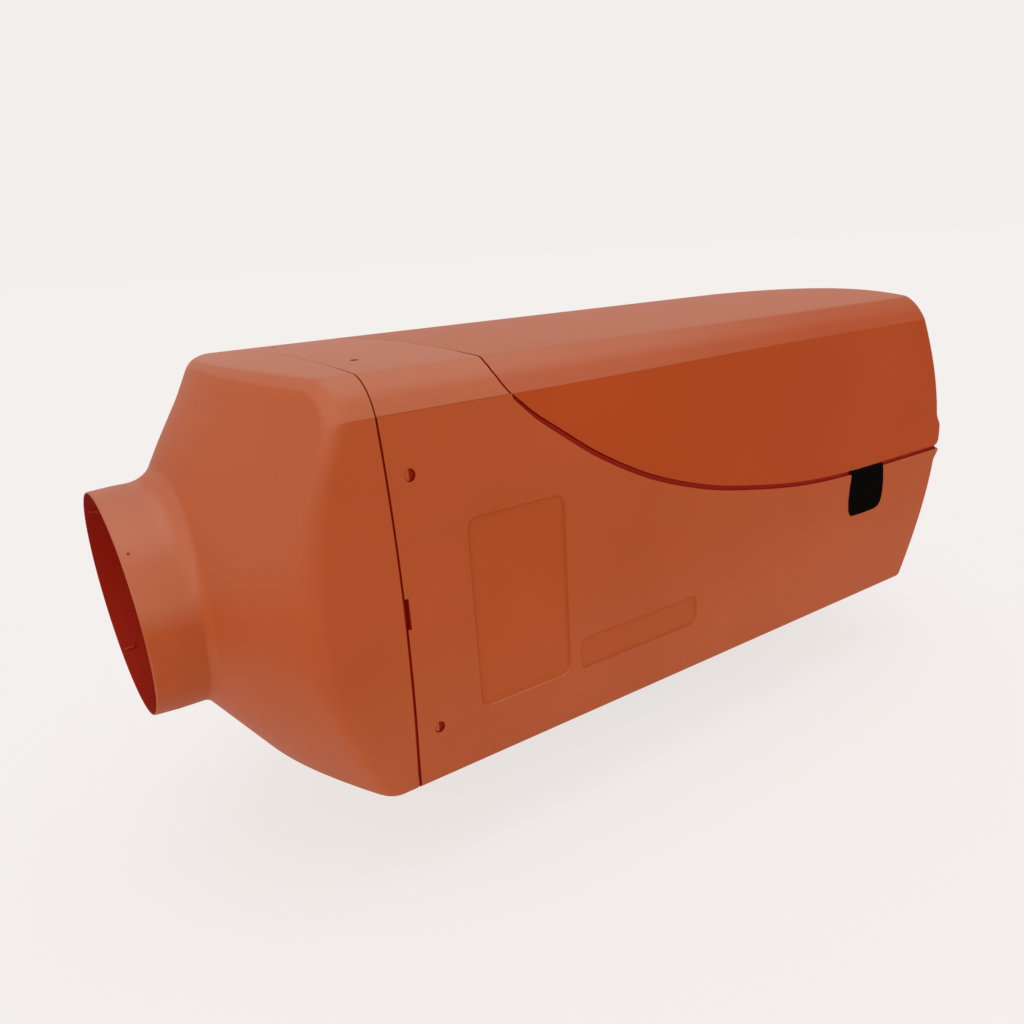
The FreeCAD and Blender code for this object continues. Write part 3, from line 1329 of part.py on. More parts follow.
def bent_lead(label, x, z, end_x, end_z, y):
    """Lead that rises from a terminal, bends and runs along the heater."""
    made = body(label)
    path = sketch(made, "XZ_Plane")
    bind(path, AttachmentOffset__Base__z=f"-({y})")
    turn_z = f"({end_z} - lead_bend)"
    turn_x = f"({x} + lead_bend)"
    up = path.addGeometry(Part.LineSegment(Vector(value(x), value(z), 0), Vector(value(x), value(turn_z), 0)))
    bend = path.addGeometry(bowed(Vector(value(x), value(turn_z), 0), Vector(value(turn_x), value(end_z), 0),
                                  -value("lead_bend")))
    along = path.addGeometry(Part.LineSegment(Vector(value(turn_x), value(end_z), 0),
                                              Vector(value(end_x), value(end_z), 0)))
    path.addConstraint(Sketcher.Constraint("Coincident", up, 2, bend, 2))
    path.addConstraint(Sketcher.Constraint("Coincident", bend, 1, along, 1))
    fix(path, up, 1, x, z)
    fix(path, up, 2, x, turn_z)
    fix(path, along, 1, turn_x, end_z)
    fix(path, along, 2, end_x, end_z)
    held = path.addConstraint(Sketcher.Constraint("Radius", bend, value("lead_bend")))
    path.setExpression(f"Constraints[{held}]", formula("lead_bend"))
    profile = ring(sketch(made, "XY_Plane", z), "lead_radius", x, y)
    doc.recompute()
    pipe = feature(made, "AdditivePipe", profile)
    pipe.Spine = (path, [])
    return seat(made)


def make_leads():
    lead_top = "(fin_radius + lead_radius + seat_gap)"
    start = "plug_boss_rise + plug_hex_height + terminal_height"
    bent_lead("glow_lead", "plug_x", start, "unit_start", lead_top, "(-glow_lead_offset)")
    bent_lead("sensor_lead", "sensor_x", "core_radius + sensor_height + clip_wall", "unit_start",
              lead_top, "sensor_lead_offset")
    pair = [rod(f"motor_lead_{name}", "Z", "lead_radius", f"{UNIT_BASE} - motor_radius - seat_gap", "lead_x",
                f"{side} * lead_spacing / 2", "motor_radius + seat_gap")
            for name, side in (("right", "(-1)"), ("left", "1"))]
    seat(group("motor_leads", *pair))


make_outlet_hood()
make_lower_casing()
make_upper_casing()
make_lid()
make_cable_plug("cable_plug_right", -1)
make_cable_plug("cable_plug_left", 1)
make_inlet_grille()
make_heat_exchanger()
make_burner()
make_gaskets()
make_pipes()
make_blower()
make_motor()
make_carrier()
make_control_unit()
make_sensor()
make_leads()
doc.recompute()

# Every object must have come out whole before anything is written
broken = [item.Label for item in doc.Objects if "Invalid" in item.State or "Error" in item.State]
for node in NODES:
    if node.Shape.isNull() or not node.Shape.isValid() or not node.Shape.Solids:
        broken.append(node.Label + " shape")
if broken:
    raise SystemExit("broken: " + ", ".join(sorted(set(broken))))
os.makedirs("parts", exist_ok=True)
for node in NODES:
    node.Shape.exportStep(f"parts/{node.Label}.step")
    print(f"{node.Label}: {len(node.Shape.Solids)} solids, {node.Shape.Volume:.0f} mm3")
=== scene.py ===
"""Looks of the ducted air heater: moulded casing, hood, lid, plugs, and everything under it."""
import json
import math

import bmesh
import bpy
from mathutils import Matrix, Vector


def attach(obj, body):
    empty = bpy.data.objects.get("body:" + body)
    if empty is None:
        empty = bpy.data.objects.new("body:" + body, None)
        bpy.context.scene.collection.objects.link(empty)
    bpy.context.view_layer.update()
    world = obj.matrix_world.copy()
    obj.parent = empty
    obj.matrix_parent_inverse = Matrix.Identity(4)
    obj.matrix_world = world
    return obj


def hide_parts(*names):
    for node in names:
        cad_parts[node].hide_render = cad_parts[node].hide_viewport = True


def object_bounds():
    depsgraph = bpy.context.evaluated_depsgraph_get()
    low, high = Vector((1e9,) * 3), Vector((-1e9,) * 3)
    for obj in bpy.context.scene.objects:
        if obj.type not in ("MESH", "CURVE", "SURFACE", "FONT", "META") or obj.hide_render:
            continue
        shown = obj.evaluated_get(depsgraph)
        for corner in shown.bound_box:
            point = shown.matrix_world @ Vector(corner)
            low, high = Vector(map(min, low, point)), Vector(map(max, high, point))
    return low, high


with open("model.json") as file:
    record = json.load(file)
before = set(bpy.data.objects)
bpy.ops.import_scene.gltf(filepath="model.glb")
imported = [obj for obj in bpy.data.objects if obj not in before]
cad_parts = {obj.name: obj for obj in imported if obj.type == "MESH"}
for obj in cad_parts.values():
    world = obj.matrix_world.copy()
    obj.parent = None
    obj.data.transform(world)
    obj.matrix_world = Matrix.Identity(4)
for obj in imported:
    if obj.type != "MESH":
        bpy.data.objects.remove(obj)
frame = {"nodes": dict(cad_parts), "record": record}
cad_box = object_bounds()
NODES = frame["nodes"]

MM = 0.001
SEAM_X = -125.0
AXIS_Z = 77.0

# Casing section and length, in millimetres from the heater's axis and the hood seam: half width, floor,
# side crease, shoulder of the top, radius of the chamfer's bow, rise of the crown, radius of the lower
# corners, wall, length and radius of the intake hole
HALF = 70.0
BASE = -68.3
CREASE = 62.0
SHOULDER_Y = 59.0
SHOULDER_Z = 72.3
SHOULDER_BOW = 15.0
CROWN = 2.0
CORNER = 3.0
WALL = 2.2
LENGTH = 320.0
HOLE = 47.0

# Half the gap between the covers at the middle of the top and at the hood's upper corners, how far the
# inner lips stand behind the outer faces, and the radii round the coned end and at its flat face
TOP_GAP = 0.05
HALF_SEAM = 0.22
LIP_INSET = WALL + 0.4
END_ROUND = 2.5
END_BRIM = 2.0

# Outlet hood: depth of its cone, radius at which the cone would meet the seam, and the duct collar
CONE_DEPTH = 50.9
CONE_REACH = 113.4
COLLAR = 39.35
COLLAR_WALL = 1.8
COLLAR_RIM = -(CONE_DEPTH + 18.9)

# Clip holes in the side walls as x and z, distance of the lid's hooks from the middle, and how far
# a cutter through both side walls reaches
CLIP_HOLES = ((8.3, 42.0), (9.45, -46.8))
HOOK_Y = 30.0
THROUGH = 80.0

# Parting curve between lid and casing on the side walls as x and z, the knee where it leaves the top,
# the gap along it and how much the edges stand over the curve
CURVE = (
    (48.0, 60.8), (57.0, 52.2), (66.7, 45.1), (84.2, 33.6), (108.5, 21.3), (135.7, 11.8),
    (159.6, 6.2), (199.4, -0.1), (234.8, -2.35), (277.0, -2.65), (330.0, -2.85),
)
LID_KNEE = 48.0
LID_GAP = 2.0
CURVE_RISE = 0.55


# ---------------- small helpers
def lerp(a, b, share):
    return a + (b - a) * share


def smooth(share):
    share = min(max(share, 0.0), 1.0)
    return share * share * (3 - 2 * share)


def place(x, y, z):
    """Point of the heater's own axes in the part's frame, in metres."""
    return Vector(((x + SEAM_X) * MM, y * MM, (z + AXIS_Z) * MM))


def parting(x):
    """Height of the parting curve over the axis, smooth through the points of CURVE."""
    if x <= CURVE[0][0]:
        return CURVE[0][1]
    for n in range(len(CURVE) - 1):
        x0, z0 = CURVE[n]
        x1, z1 = CURVE[n + 1]
        if x <= x1:
            before = CURVE[n - 1] if n else (2 * x0 - x1, 2 * z0 - z1)
            after = CURVE[n + 2] if n + 2 < len(CURVE) else (2 * x1 - x0, 2 * z1 - z0)
            slope0 = (z1 - before[1]) / (x1 - before[0]) * (x1 - x0)
            slope1 = (after[1] - z0) / (after[0] - x0) * (x1 - x0)
            t = (x - x0) / (x1 - x0)
            return ((2 * t ** 3 - 3 * t ** 2 + 1) * z0 + (t ** 3 - 2 * t ** 2 + t) * slope0
                    + (3 * t ** 2 - 2 * t ** 3) * z1 + (t ** 3 - t ** 2) * slope1)
    return CURVE[-1][1]


def off_middle(y):
    """0 over the middle of the top, rising to 1 at the shoulders."""
    return smooth((abs(y) - 38.0) / 16.0)


def seam_half(y, z):
    """Half the gap between hood and casing: nearly closed on the top, open on the sides."""
    if z > CREASE - 0.1:
        return lerp(TOP_GAP, HALF_SEAM, off_middle(y))
    return HALF_SEAM + 0.13 + 0.15 * smooth((20.0 - z) / 60.0)


def front_half(y):
    """Half the gap between bridge and lid, closing towards the middle of the top."""
    return lerp(TOP_GAP, 0.32, off_middle(y))


def seam_bow(x, z):
    """The joint between hood and casing bows a little towards the fan end at mid height."""
    if abs(z) > CREASE:
        return 0.0
    return 1.9 * (1 - (z / CREASE) ** 2) * (1 - smooth(abs(x) / 18.0))


def parting_edge(x, side):
    """Edge of the casing (side -1) or of the lid (side 1); the gap opens behind the knee."""
    slope = (parting(x + 0.5) - parting(x - 0.5)) if x > LID_KNEE else 0.0
    gap = lerp(1.3, LID_GAP, smooth((x - LID_KNEE) / 14.0)) * math.hypot(1.0, 0.85 * slope)
    return parting(x) + CURVE_RISE + side * gap / 2


def arc_between(start, end, radius, steps, bulge=1):
    """Points after start and up to end on an arc that bulges to one side."""
    (x0, y0), (x1, y1) = start, end
    mx, my = (x0 + x1) / 2, (y0 + y1) / 2
    dx, dy = x1 - x0, y1 - y0
    chord = math.hypot(dx, dy)
    rise = math.sqrt(max(radius ** 2 - chord ** 2 / 4, 0))
    cx, cy = mx - bulge * dy / chord * rise, my + bulge * dx / chord * rise
    a0 = math.atan2(y0 - cy, x0 - cx)
    a1 = math.atan2(y1 - cy, x1 - cx)
    turn = (a1 - a0 + math.pi) % (2 * math.pi) - math.pi
    return [(cx + radius * math.cos(a0 + turn * k / steps), cy + radius * math.sin(a0 + turn * k / steps))
            for k in range(1, steps + 1)]


def run(start, end, steps):
    """Evenly spaced points after start and up to end."""
    return [(lerp(start[0], end[0], k / steps), lerp(start[1], end[1], k / steps)) for k in range(1, steps + 1)]


def line(start, end, steps):
    """Evenly spaced points from start to end."""
    return [start] + run(start, end, steps)


def swing(centre, radius, start, end, steps):
    """Points after the start and up to the end of an arc; angles run from the second axis."""
    angles = [lerp(start, end, k / steps) for k in range(1, steps + 1)]
    return [(centre[0] + radius * math.sin(a), centre[1] + radius * math.cos(a)) for a in angles]


def circle(radius, steps, x=0.0, y=0.0):
    """Points round a circle."""
    angles = [2 * math.pi * k / steps for k in range(steps)]
    return [(x + radius * math.cos(a), y + radius * math.sin(a)) for a in angles]


def crease_height(inset):
    """Height of the side crease on a section drawn in by inset."""
    return CREASE - 0.43 * inset


def over_the_top(inset, crown_steps=22, chamfer_steps=8):
    """Section points (y, z) from the right crease over the top to the left crease."""
    half, crease = HALF - inset, crease_height(inset)
    reach, high = SHOULDER_Y - 0.40 * inset, SHOULDER_Z - inset
    crown = (reach ** 2 + CROWN ** 2) / (2 * CROWN)
    points = [(-half, crease)] + arc_between((-half, crease), (-reach, high), SHOULDER_BOW, chamfer_steps, -1)
    points += arc_between((-reach, high), (reach, high), crown, crown_steps, -1)
    return points + arc_between((reach, high), (half, crease), SHOULDER_BOW, chamfer_steps, -1)


def round_the_bottom(inset, corner_steps, floor_steps):
    """Section points (y, z) from the right side wall under the floor to the left side wall."""
    half, low = HALF - inset, BASE + inset
    flat, side = half - CORNER, low + CORNER
    points = [(-half, side)] + arc_between((-half, side), (-flat, low), CORNER, corner_steps)
    points += run((-flat, low), (flat, low), floor_steps)
    return points + arc_between((flat, low), (half, side), CORNER, corner_steps)


def mesh_object(name, points, faces, material=None):
    data = bpy.data.meshes.new(name)
    data.from_pydata([tuple(p) for p in points], [], faces)
    made = bpy.data.objects.new(name, data)
    bpy.context.scene.collection.objects.link(made)
    if material:
        data.materials.append(material)
    return made


def grid(name, rows, material, closed=False):
    """Quad mesh through rows of points; closed joins each row's ends."""
    count = len(rows[0])
    points = [p for row in rows for p in row]
    faces = []
    for r in range(len(rows) - 1):
        for c in range(count if closed else count - 1):
            d = (c + 1) % count
            faces.append((r * count + c, r * count + d, (r + 1) * count + d, (r + 1) * count + c))
    return mesh_object(name, points, faces, material)


def loft(name, rings, material):
    """Closed solid through rings of points, with a face over the first and the last."""
    count, last = len(rings[0]), (len(rings) - 1) * len(rings[0])
    faces = [tuple(range(count))[::-1], tuple(range(last, last + count))]
    for base in range(0, last, count):
        faces += [(base + n, base + (n + 1) % count, base + count + (n + 1) % count, base + count + n)
                  for n in range(count)]
    return clean(mesh_object(name, [p for ring in rings for p in ring], faces, material))


def applied(piece):
    """Bakes the modifiers of a piece into its mesh, and removes them."""
    graph = bpy.context.evaluated_depsgraph_get()
    baked = bpy.data.meshes.new_from_object(piece.evaluated_get(graph), preserve_all_data_layers=True,
                                            depsgraph=graph)
    old = piece.data
    piece.modifiers.clear()
    piece.data = baked
    baked.name = piece.name
    bpy.data.meshes.remove(old)
    return piece


def clean(piece, gap=0.00002):
    """Merges doubles and turns every face outwards."""
    work = bmesh.new()
    work.from_mesh(piece.data)
    bmesh.ops.remove_doubles(work, verts=work.verts, dist=gap)
    bmesh.ops.dissolve_degenerate(work, edges=work.edges, dist=gap)
    bmesh.ops.recalc_face_normals(work, faces=work.faces)
    work.to_mesh(piece.data)
    work.free()
    return piece


def modified(piece, kind, **settings):
    """Bakes one modifier with its settings into a piece."""
    maker = piece.modifiers.new("maker", kind)
    for label, value in settings.items():
        setattr(maker, label, value)
    return applied(piece)


def walled(piece, wall, offset=-1, **settings):
    """Gives a skin a wall of one thickness, inwards or (offset 1) outwards."""
    return modified(piece, "SOLIDIFY", thickness=wall * MM, offset=offset, **settings)


def rounded(piece, radius, segments):
    """Rounds the sharp edges of a piece."""
    return modified(piece, "BEVEL", width=radius * MM, segments=segments, limit_method="ANGLE",
                    angle_limit=math.radians(50))


def thicken(piece, rim=0.18, rim_inside=True):
    """Gives an outer skin its wall, inwards, with its inner faces (and with rim_inside its rims) in the painted shade
    red, and rounds its rims.
    """
    piece.data.materials.append(shade_red)
    walled(piece, WALL, use_quality_normals=True, material_offset=1, material_offset_rim=int(rim_inside))
    return rounded(piece, rim, 3)


def ease_crease(piece, drop=1.1, below=14.0):
    """Lowers the side crease a little towards the outlet end, and leaves the rest of the wall."""
    for vertex in piece.data.vertices:
        x, z = vertex.co.x / MM - SEAM_X, vertex.co.z / MM - AXIS_Z
        span = SHOULDER_Z - CREASE if z > CREASE else below
        near = max(1 - abs(z - CREASE) / span, 0.0)
        vertex.co.z -= drop * near * (1 - smooth((x - 60.0) / 140.0)) * MM
    return piece


def bow_joint(piece):
    """Moves the walls beside the hood's joint with its bow."""
    for vertex in piece.data.vertices:
        x, z = vertex.co.x / MM - SEAM_X, vertex.co.z / MM - AXIS_Z
        if abs(vertex.co.y) > 60.0 * MM:
            vertex.co.x += seam_bow(x, z) * MM
    return piece


def settle(piece, angle=15.0):
    """Smooth shading that keeps the flat faces flat and the edges over an angle crisp."""
    piece.data.shade_smooth()
    piece.data.set_sharp_from_angle(angle=math.radians(angle))
    return modified(piece, "WEIGHTED_NORMAL", keep_sharp=True, weight=60)


def finish_piece(piece, body, slot, *nodes):
    """Seats a piece on its body, in place of the CAD nodes that it stands for."""
    if nodes:
        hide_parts(*nodes)
    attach(piece, body)
    return piece


def carve(piece, *cutters):
    """Takes the cutters out of the piece, and removes them."""
    for cutter in cutters:
        hole = piece.modifiers.new("cut", "BOOLEAN")
        hole.operation = "DIFFERENCE"
        hole.solver = "EXACT"
        hole.object = cutter
        hole.material_mode = "TRANSFER"
    applied(piece)
    for cutter in cutters:
        data = cutter.data
        bpy.data.objects.remove(cutter)
        bpy.data.meshes.remove(data)
    return piece


def join(name, *pieces):
    """One object from several, keeping their materials."""
    target = pieces[0]
    if len(pieces) > 1:
        with bpy.context.temp_override(active_object=target, object=target,
                                       selected_editable_objects=list(pieces), selected_objects=list(pieces)):
            bpy.ops.object.join()
    target.name = name
    target.data.name = name
    return target


def grown(outline, middle, grow):
    """Points of an outline, moved away from its middle."""
    points = []
    for x, z in outline:
        dx, dz = x - middle[0], z - middle[1]
        scale = 1 + grow / math.hypot(dx, dz)
        points.append((middle[0] + dx * scale, middle[1] + dz * scale))
    return points


def drafted(name, outline, start, end, grow, material):
    """Closed cutter or plug: an outline in x and z, swept along y, larger by grow at its end."""
    middle = [sum(values) / len(outline) for values in zip(*outline)]
    return loft(name, [[place(x, y, z) for x, z in grown(outline, middle, extra)]
                       for y, extra in ((start, 0.0), (end, grow))], material)


def rounded_outline(x0, x1, z0, z1, radius, steps=6):
    """Rectangle in x and z with rounded corners."""
    points = []
    for cx, cz, a in ((x1 - radius, z1 - radius, 0), (x0 + radius, z1 - radius, 90),
                      (x0 + radius, z0 + radius, 180), (x1 - radius, z0 + radius, 270)):
        for k in range(steps + 1):
            angle = math.radians(a + 90 * k / steps)
            points.append((cx + radius * math.cos(angle), cz + radius * math.sin(angle)))
    return points


def through_cutter(name, outline):
    """Cutter with an outline in x and z that goes through both side walls; the walls it cuts take the painted shade
    red.
    """
    return drafted(name, outline, -THROUGH, THROUGH, 0.0, shade_red)


def round_bar(name, x, y, profile, material, steps):
    """Upright round bar through (height, radius) pairs."""
    return loft(name, [[place(u, v, z) for u, v in circle(r, steps, x, y)] for z, r in profile], material)


def box_block(name, x, y, z, material):
    """Block between two values on each axis."""
    points = [place(a, b, c) for a in x for b in y for c in z]
    faces = [(0, 1, 3, 2), (4, 6, 7, 5), (0, 4, 5, 1), (2, 3, 7, 6), (0, 2, 6, 4), (1, 5, 7, 3)]
    return clean(mesh_object(name, points, faces, material))


# ---------------- materials
def feed(tree, target, inputs):
    """Sets the inputs of a node, each to a value or to the socket that drives it."""
    for label, source in inputs.items():
        if isinstance(source, bpy.types.NodeSocket):
            tree.links.new(source, target.inputs[label])
        else:
            target.inputs[label].default_value = source
    return target


def node(tree, kind, inputs=None, **settings):
    """New node with its settings and its inputs."""
    made = tree.nodes.new(kind)
    for label, value in settings.items():
        setattr(made, label, value)
    return feed(tree, made, inputs or {})


def maths(tree, operation, *values, clamp=False):
    """Result of a maths node on values or sockets."""
    made = node(tree, "ShaderNodeMath", dict(enumerate(values)), operation=operation, use_clamp=clamp)
    return made.outputs["Value"]


def spread(tree, source, low, high, start=0.3, end=0.7, soft=False):
    """Maps a value from the range start to end onto low to high, straight or eased."""
    made = node(tree, "ShaderNodeMapRange",
                {"Value": source, "From Min": start, "From Max": end, "To Min": low, "To Max": high},
                interpolation_type="SMOOTHSTEP" if soft else "LINEAR")
    return made.outputs["Result"]


def mixed(tree, factor, low, high):
    """Mixes two colours."""
    made = node(tree, "ShaderNodeMix", {"Factor": factor, "A": low, "B": high}, data_type="RGBA")
    return made.outputs["Result"]


def bumped(tree, height, strength, distance):
    """Normal of a bumpy surface."""
    made = node(tree, "ShaderNodeBump", {"Strength": strength, "Distance": distance, "Height": height})
    return made.outputs["Normal"]


def new_group(name, tree_kind, inputs, outputs):
    """New node tree with named sockets: the tree, the sockets of its input and its output node."""
    tree = bpy.data.node_groups.new(name, tree_kind)
    for label, kind, *default in inputs:
        made = tree.interface.new_socket(name=label, in_out="INPUT", socket_type="NodeSocket" + kind)
        if default:
            made.default_value = default[0]
    for label, kind in outputs:
        tree.interface.new_socket(name=label, in_out="OUTPUT", socket_type="NodeSocket" + kind)
    return tree, tree.nodes.new("NodeGroupInput").outputs, tree.nodes.new("NodeGroupOutput")


def moulding_grain():
    """Fine spark-eroded grain and broad flow mottling for moulded plastic."""
    tree, ins, outs = new_group(
        "moulding_grain", "ShaderNodeTree", [("Grain Scale", "Float", 900.0), ("Flow Scale", "Float", 14.0)],
        [("Grain", "Float"), ("Flow", "Float"), ("Height", "Float")])
    where = node(tree, "ShaderNodeTexCoord").outputs["Object"]
    grain = {"Vector": where, "Scale": ins["Grain Scale"]}
    fine = node(tree, "ShaderNodeTexNoise", {**grain, "Detail": 3.0, "Roughness": 0.6}).outputs["Fac"]
    pits = node(tree, "ShaderNodeTexVoronoi", grain, feature="SMOOTH_F1").outputs["Distance"]
    flow = node(tree, "ShaderNodeTexNoise", {"Vector": where, "Scale": ins["Flow Scale"], "Detail": 2.0})
    feed(tree, outs, {"Grain": fine, "Flow": flow.outputs["Fac"],
                      "Height": maths(tree, "MULTIPLY_ADD", pits, 0.6, fine)})
    return tree


def painted_sheen():
    """Painted sheen: a pale painted highlight on the faces that look up, aside or to the outlet, broken up by a soft
    noise.
    """
    tree, ins, outs = new_group(
        "painted_sheen", "ShaderNodeTree",
        [("Start", "Float", 0.52), ("End", "Float", 1.0), ("Break", "Float", 0.2),
         ("Fade Start", "Float", -0.08), ("Fade End", "Float", 0.12)], [("Sheen", "Float")])
    shape = node(tree, "ShaderNodeNewGeometry").outputs["Normal"]
    normal = node(tree, "ShaderNodeSeparateXYZ", {"Vector": shape}).outputs
    where = node(tree, "ShaderNodeTexCoord").outputs["Object"]
    along = node(tree, "ShaderNodeSeparateXYZ", {"Vector": where}).outputs
    # Painted highlight on faces that look up or aside, fading towards the fan end
    lean = maths(tree, "MULTIPLY", maths(tree, "ABSOLUTE", normal["Y"]), 0.5)
    facing = maths(tree, "MULTIPLY_ADD", normal["Z"], 0.86, lean)
    slight = spread(tree, facing, 0.0, 0.55, ins["Start"], 0.70)
    full = spread(tree, facing, 0.0, 0.45, 0.86, ins["End"], soft=True)
    fade = spread(tree, along["X"], 1.0, 0.38, ins["Fade Start"], ins["Fade End"], soft=True)
    sheen_faces = maths(tree, "MULTIPLY", maths(tree, "ADD", slight, full), fade)
    # Painted sheen on level faces and on faces to the outlet, with less of it (a painted shade band) where their normal
    # lies level, and paler towards the foot of the walls
    level = spread(tree, normal["Z"], 0.0, 1.0, 0.90, 0.985, soft=True)
    forward = spread(tree, normal["X"], 0.0, 0.25, -0.03, -0.18, soft=True)
    belt = spread(tree, maths(tree, "ABSOLUTE", normal["Z"]), 0.12, 1.0, 0.0, 0.26, soft=True)
    low = spread(tree, along["Z"], 0.0, 0.16, 0.075, 0.012, soft=True)
    for other in (level, maths(tree, "MULTIPLY", forward, belt), low):
        sheen_faces = maths(tree, "MAXIMUM", sheen_faces, other)
    cloud = node(tree, "ShaderNodeTexNoise", {"Vector": where, "Scale": 22.0, "Detail": 3.0}).outputs["Fac"]
    rest = maths(tree, "MULTIPLY_ADD", ins["Break"], -0.5, 1.0)
    broken = maths(tree, "MULTIPLY_ADD", cloud, ins["Break"], rest)
    feed(tree, outs, {"Sheen": maths(tree, "MULTIPLY", sheen_faces, broken, clamp=True)})
    return tree


GRAIN = moulding_grain()
PAINTED_SHEEN = painted_sheen()


def new_material(name):
    """New material, its node tree and its shader."""
    made = bpy.data.materials.new(name)
    made.use_nodes = True
    return made, made.node_tree, made.node_tree.nodes["Principled BSDF"]


def linear(red, green, blue):
    """Linear colour of a screen colour."""
    def one(v):
        v /= 255
        return v / 12.92 if v <= 0.04045 else ((v + 0.055) / 1.055) ** 2.4
    return (one(red), one(green), one(blue), 1.0)


def plastic(name, low, high, sheen_colour, rough, grain, bump=0.05, specular=0.5, sheen_share=0.3):
    """Moulded plastic: colour that drifts a little, a painted sheen on the faces that look up, fine grain."""
    made, tree, shader = new_material(name)
    texture = node(tree, "ShaderNodeGroup", {"Grain Scale": grain}, node_tree=GRAIN).outputs
    sheen_mask = node(tree, "ShaderNodeGroup", node_tree=PAINTED_SHEEN).outputs["Sheen"]
    body = mixed(tree, spread(tree, texture["Flow"], 0.0, 1.0), low, high)
    feed(tree, shader, {
        # Base colour pales towards the sheen colour where the painted sheen mask is high
        "Base Color": mixed(tree, maths(tree, "MULTIPLY", sheen_mask, sheen_share, clamp=True), body, sheen_colour),
        "Roughness": spread(tree, texture["Grain"], *rough),
        "Specular IOR Level": specular,
        "Normal": bumped(tree, texture["Height"], bump, 0.0002)})
    return made


def metal(name, low, high, rough, grain, scale=(1.0, 1.0, 1.0), bump=0.05):
    """Metal with a brushed, cast or turned grain; scale stretches the grain along an axis."""
    made, tree, shader = new_material(name)
    where = node(tree, "ShaderNodeTexCoord").outputs["Object"]
    stretch = node(tree, "ShaderNodeMapping", {"Vector": where, "Scale": scale}).outputs["Vector"]
    grain = {"Vector": stretch, "Scale": grain, "Detail": 6.0, "Roughness": 0.65}
    noise = node(tree, "ShaderNodeTexNoise", grain).outputs["Fac"]
    feed(tree, shader, {
        "Base Color": mixed(tree, spread(tree, noise, 0.0, 1.0), low, high),
        "Roughness": spread(tree, noise, *rough),
        "Metallic": 1.0,
        "Normal": bumped(tree, noise, bump, 0.0004)})
    return made


# Terracotta mouldings: drifting body colour, colour of the painted sheen, roughness, gloss and share of painted sheen;
# the rib and depth rows are darker copies of the body colour, painted shade for faces that sit in shadow
orange, recess, lid_orange, rib_shade_red, shade_red = [
    plastic("terracotta_" + name, (*low, 1.0), (*high, 1.0), (*sheen_colour, 1.0), rough, 1100.0, bump, specular, sheen_share)
    for name, low, high, sheen_colour, rough, bump, specular, sheen_share in (
        ("moulding", (0.385, 0.067, 0.0125), (0.412, 0.075, 0.0165), (0.468, 0.155, 0.086),
         (0.52, 0.62), 0.05, 0.14, 1.0),
        # Recess: the body colour with a weaker painted sheen, for the walls of the recesses
        ("recess", (0.385, 0.067, 0.0125), (0.412, 0.075, 0.0165), (0.468, 0.135, 0.060),
         (0.55, 0.65), 0.05, 0.10, 0.85),
        ("lid", (0.372, 0.050, 0.0060), (0.398, 0.057, 0.0085), (0.460, 0.150, 0.085),
         (0.58, 0.68), 0.05, 0.09, 1.0),
        # Rib: painted shade red for the ribs in the collar, a little lighter than the depth red where their tops catch
        # light
        ("rib", (0.33, 0.022, 0.005), (0.37, 0.027, 0.007), (0.40, 0.06, 0.02), (0.55, 0.65), 0.05, 0.08, 0.3),
        # Depth: painted shade red for inner faces, faces in gaps, hole walls and pockets
        ("depth", (0.285, 0.0075, 0.0013), (0.315, 0.0105, 0.0021), (0.36, 0.02, 0.006),
         (0.55, 0.66), 0.04, 0.08, 0.3))]
rubber = plastic("plug_rubber", linear(8, 8, 8), linear(12, 11, 10), linear(26, 25, 24),
                 (0.66, 0.78), 500.0, bump=0.10, specular=0.0, sheen_share=0.1)
steel = metal("drawn_steel", linear(150, 150, 152), linear(182, 182, 184), (0.24, 0.36), 900.0,
              scale=(1.0, 1.0, 0.06))

MATERIALS = {
    "orange_plastic": orange,
    "black_rubber": rubber,
    "steel": steel,
    "black_plastic": plastic("black_moulding", linear(20, 20, 21), linear(27, 27, 28), linear(48, 48, 48),
                             (0.5, 0.62), 700.0, bump=0.12),
    "grey_plastic": plastic("grey_nylon", linear(88, 90, 93), linear(100, 102, 105), linear(128, 130, 132),
                            (0.42, 0.55), 600.0, bump=0.08),
    "board": plastic("board_green", linear(14, 78, 42), linear(18, 92, 52), linear(150, 140, 90),
                     (0.25, 0.35), 300.0),
    "gasket": plastic("gasket_fibre", linear(70, 70, 68), linear(86, 86, 83), linear(100, 100, 97),
                      (0.75, 0.9), 350.0, bump=0.5, specular=0.2),
    "lead_sheath": plastic("lead_sheath", linear(22, 22, 26), linear(30, 30, 34), linear(44, 44, 48),
                           (0.4, 0.5), 400.0, bump=0.06),
    "cast_aluminium": metal("cast_aluminium", linear(150, 151, 153), linear(176, 177, 179),
                            (0.42, 0.58), 420.0, bump=0.35),
    "brass": metal("turned_brass", linear(188, 160, 96), linear(208, 180, 112), (0.25, 0.36), 300.0),
    "magnet": metal("sintered_iron", linear(62, 62, 66), linear(78, 78, 82), (0.45, 0.6), 800.0, bump=0.2),
}
for entry in frame["record"]["subparts"]:
    data = NODES[entry["node"]].data
    data.materials.clear()
    data.materials.append(MATERIALS[entry["material_slot"]])


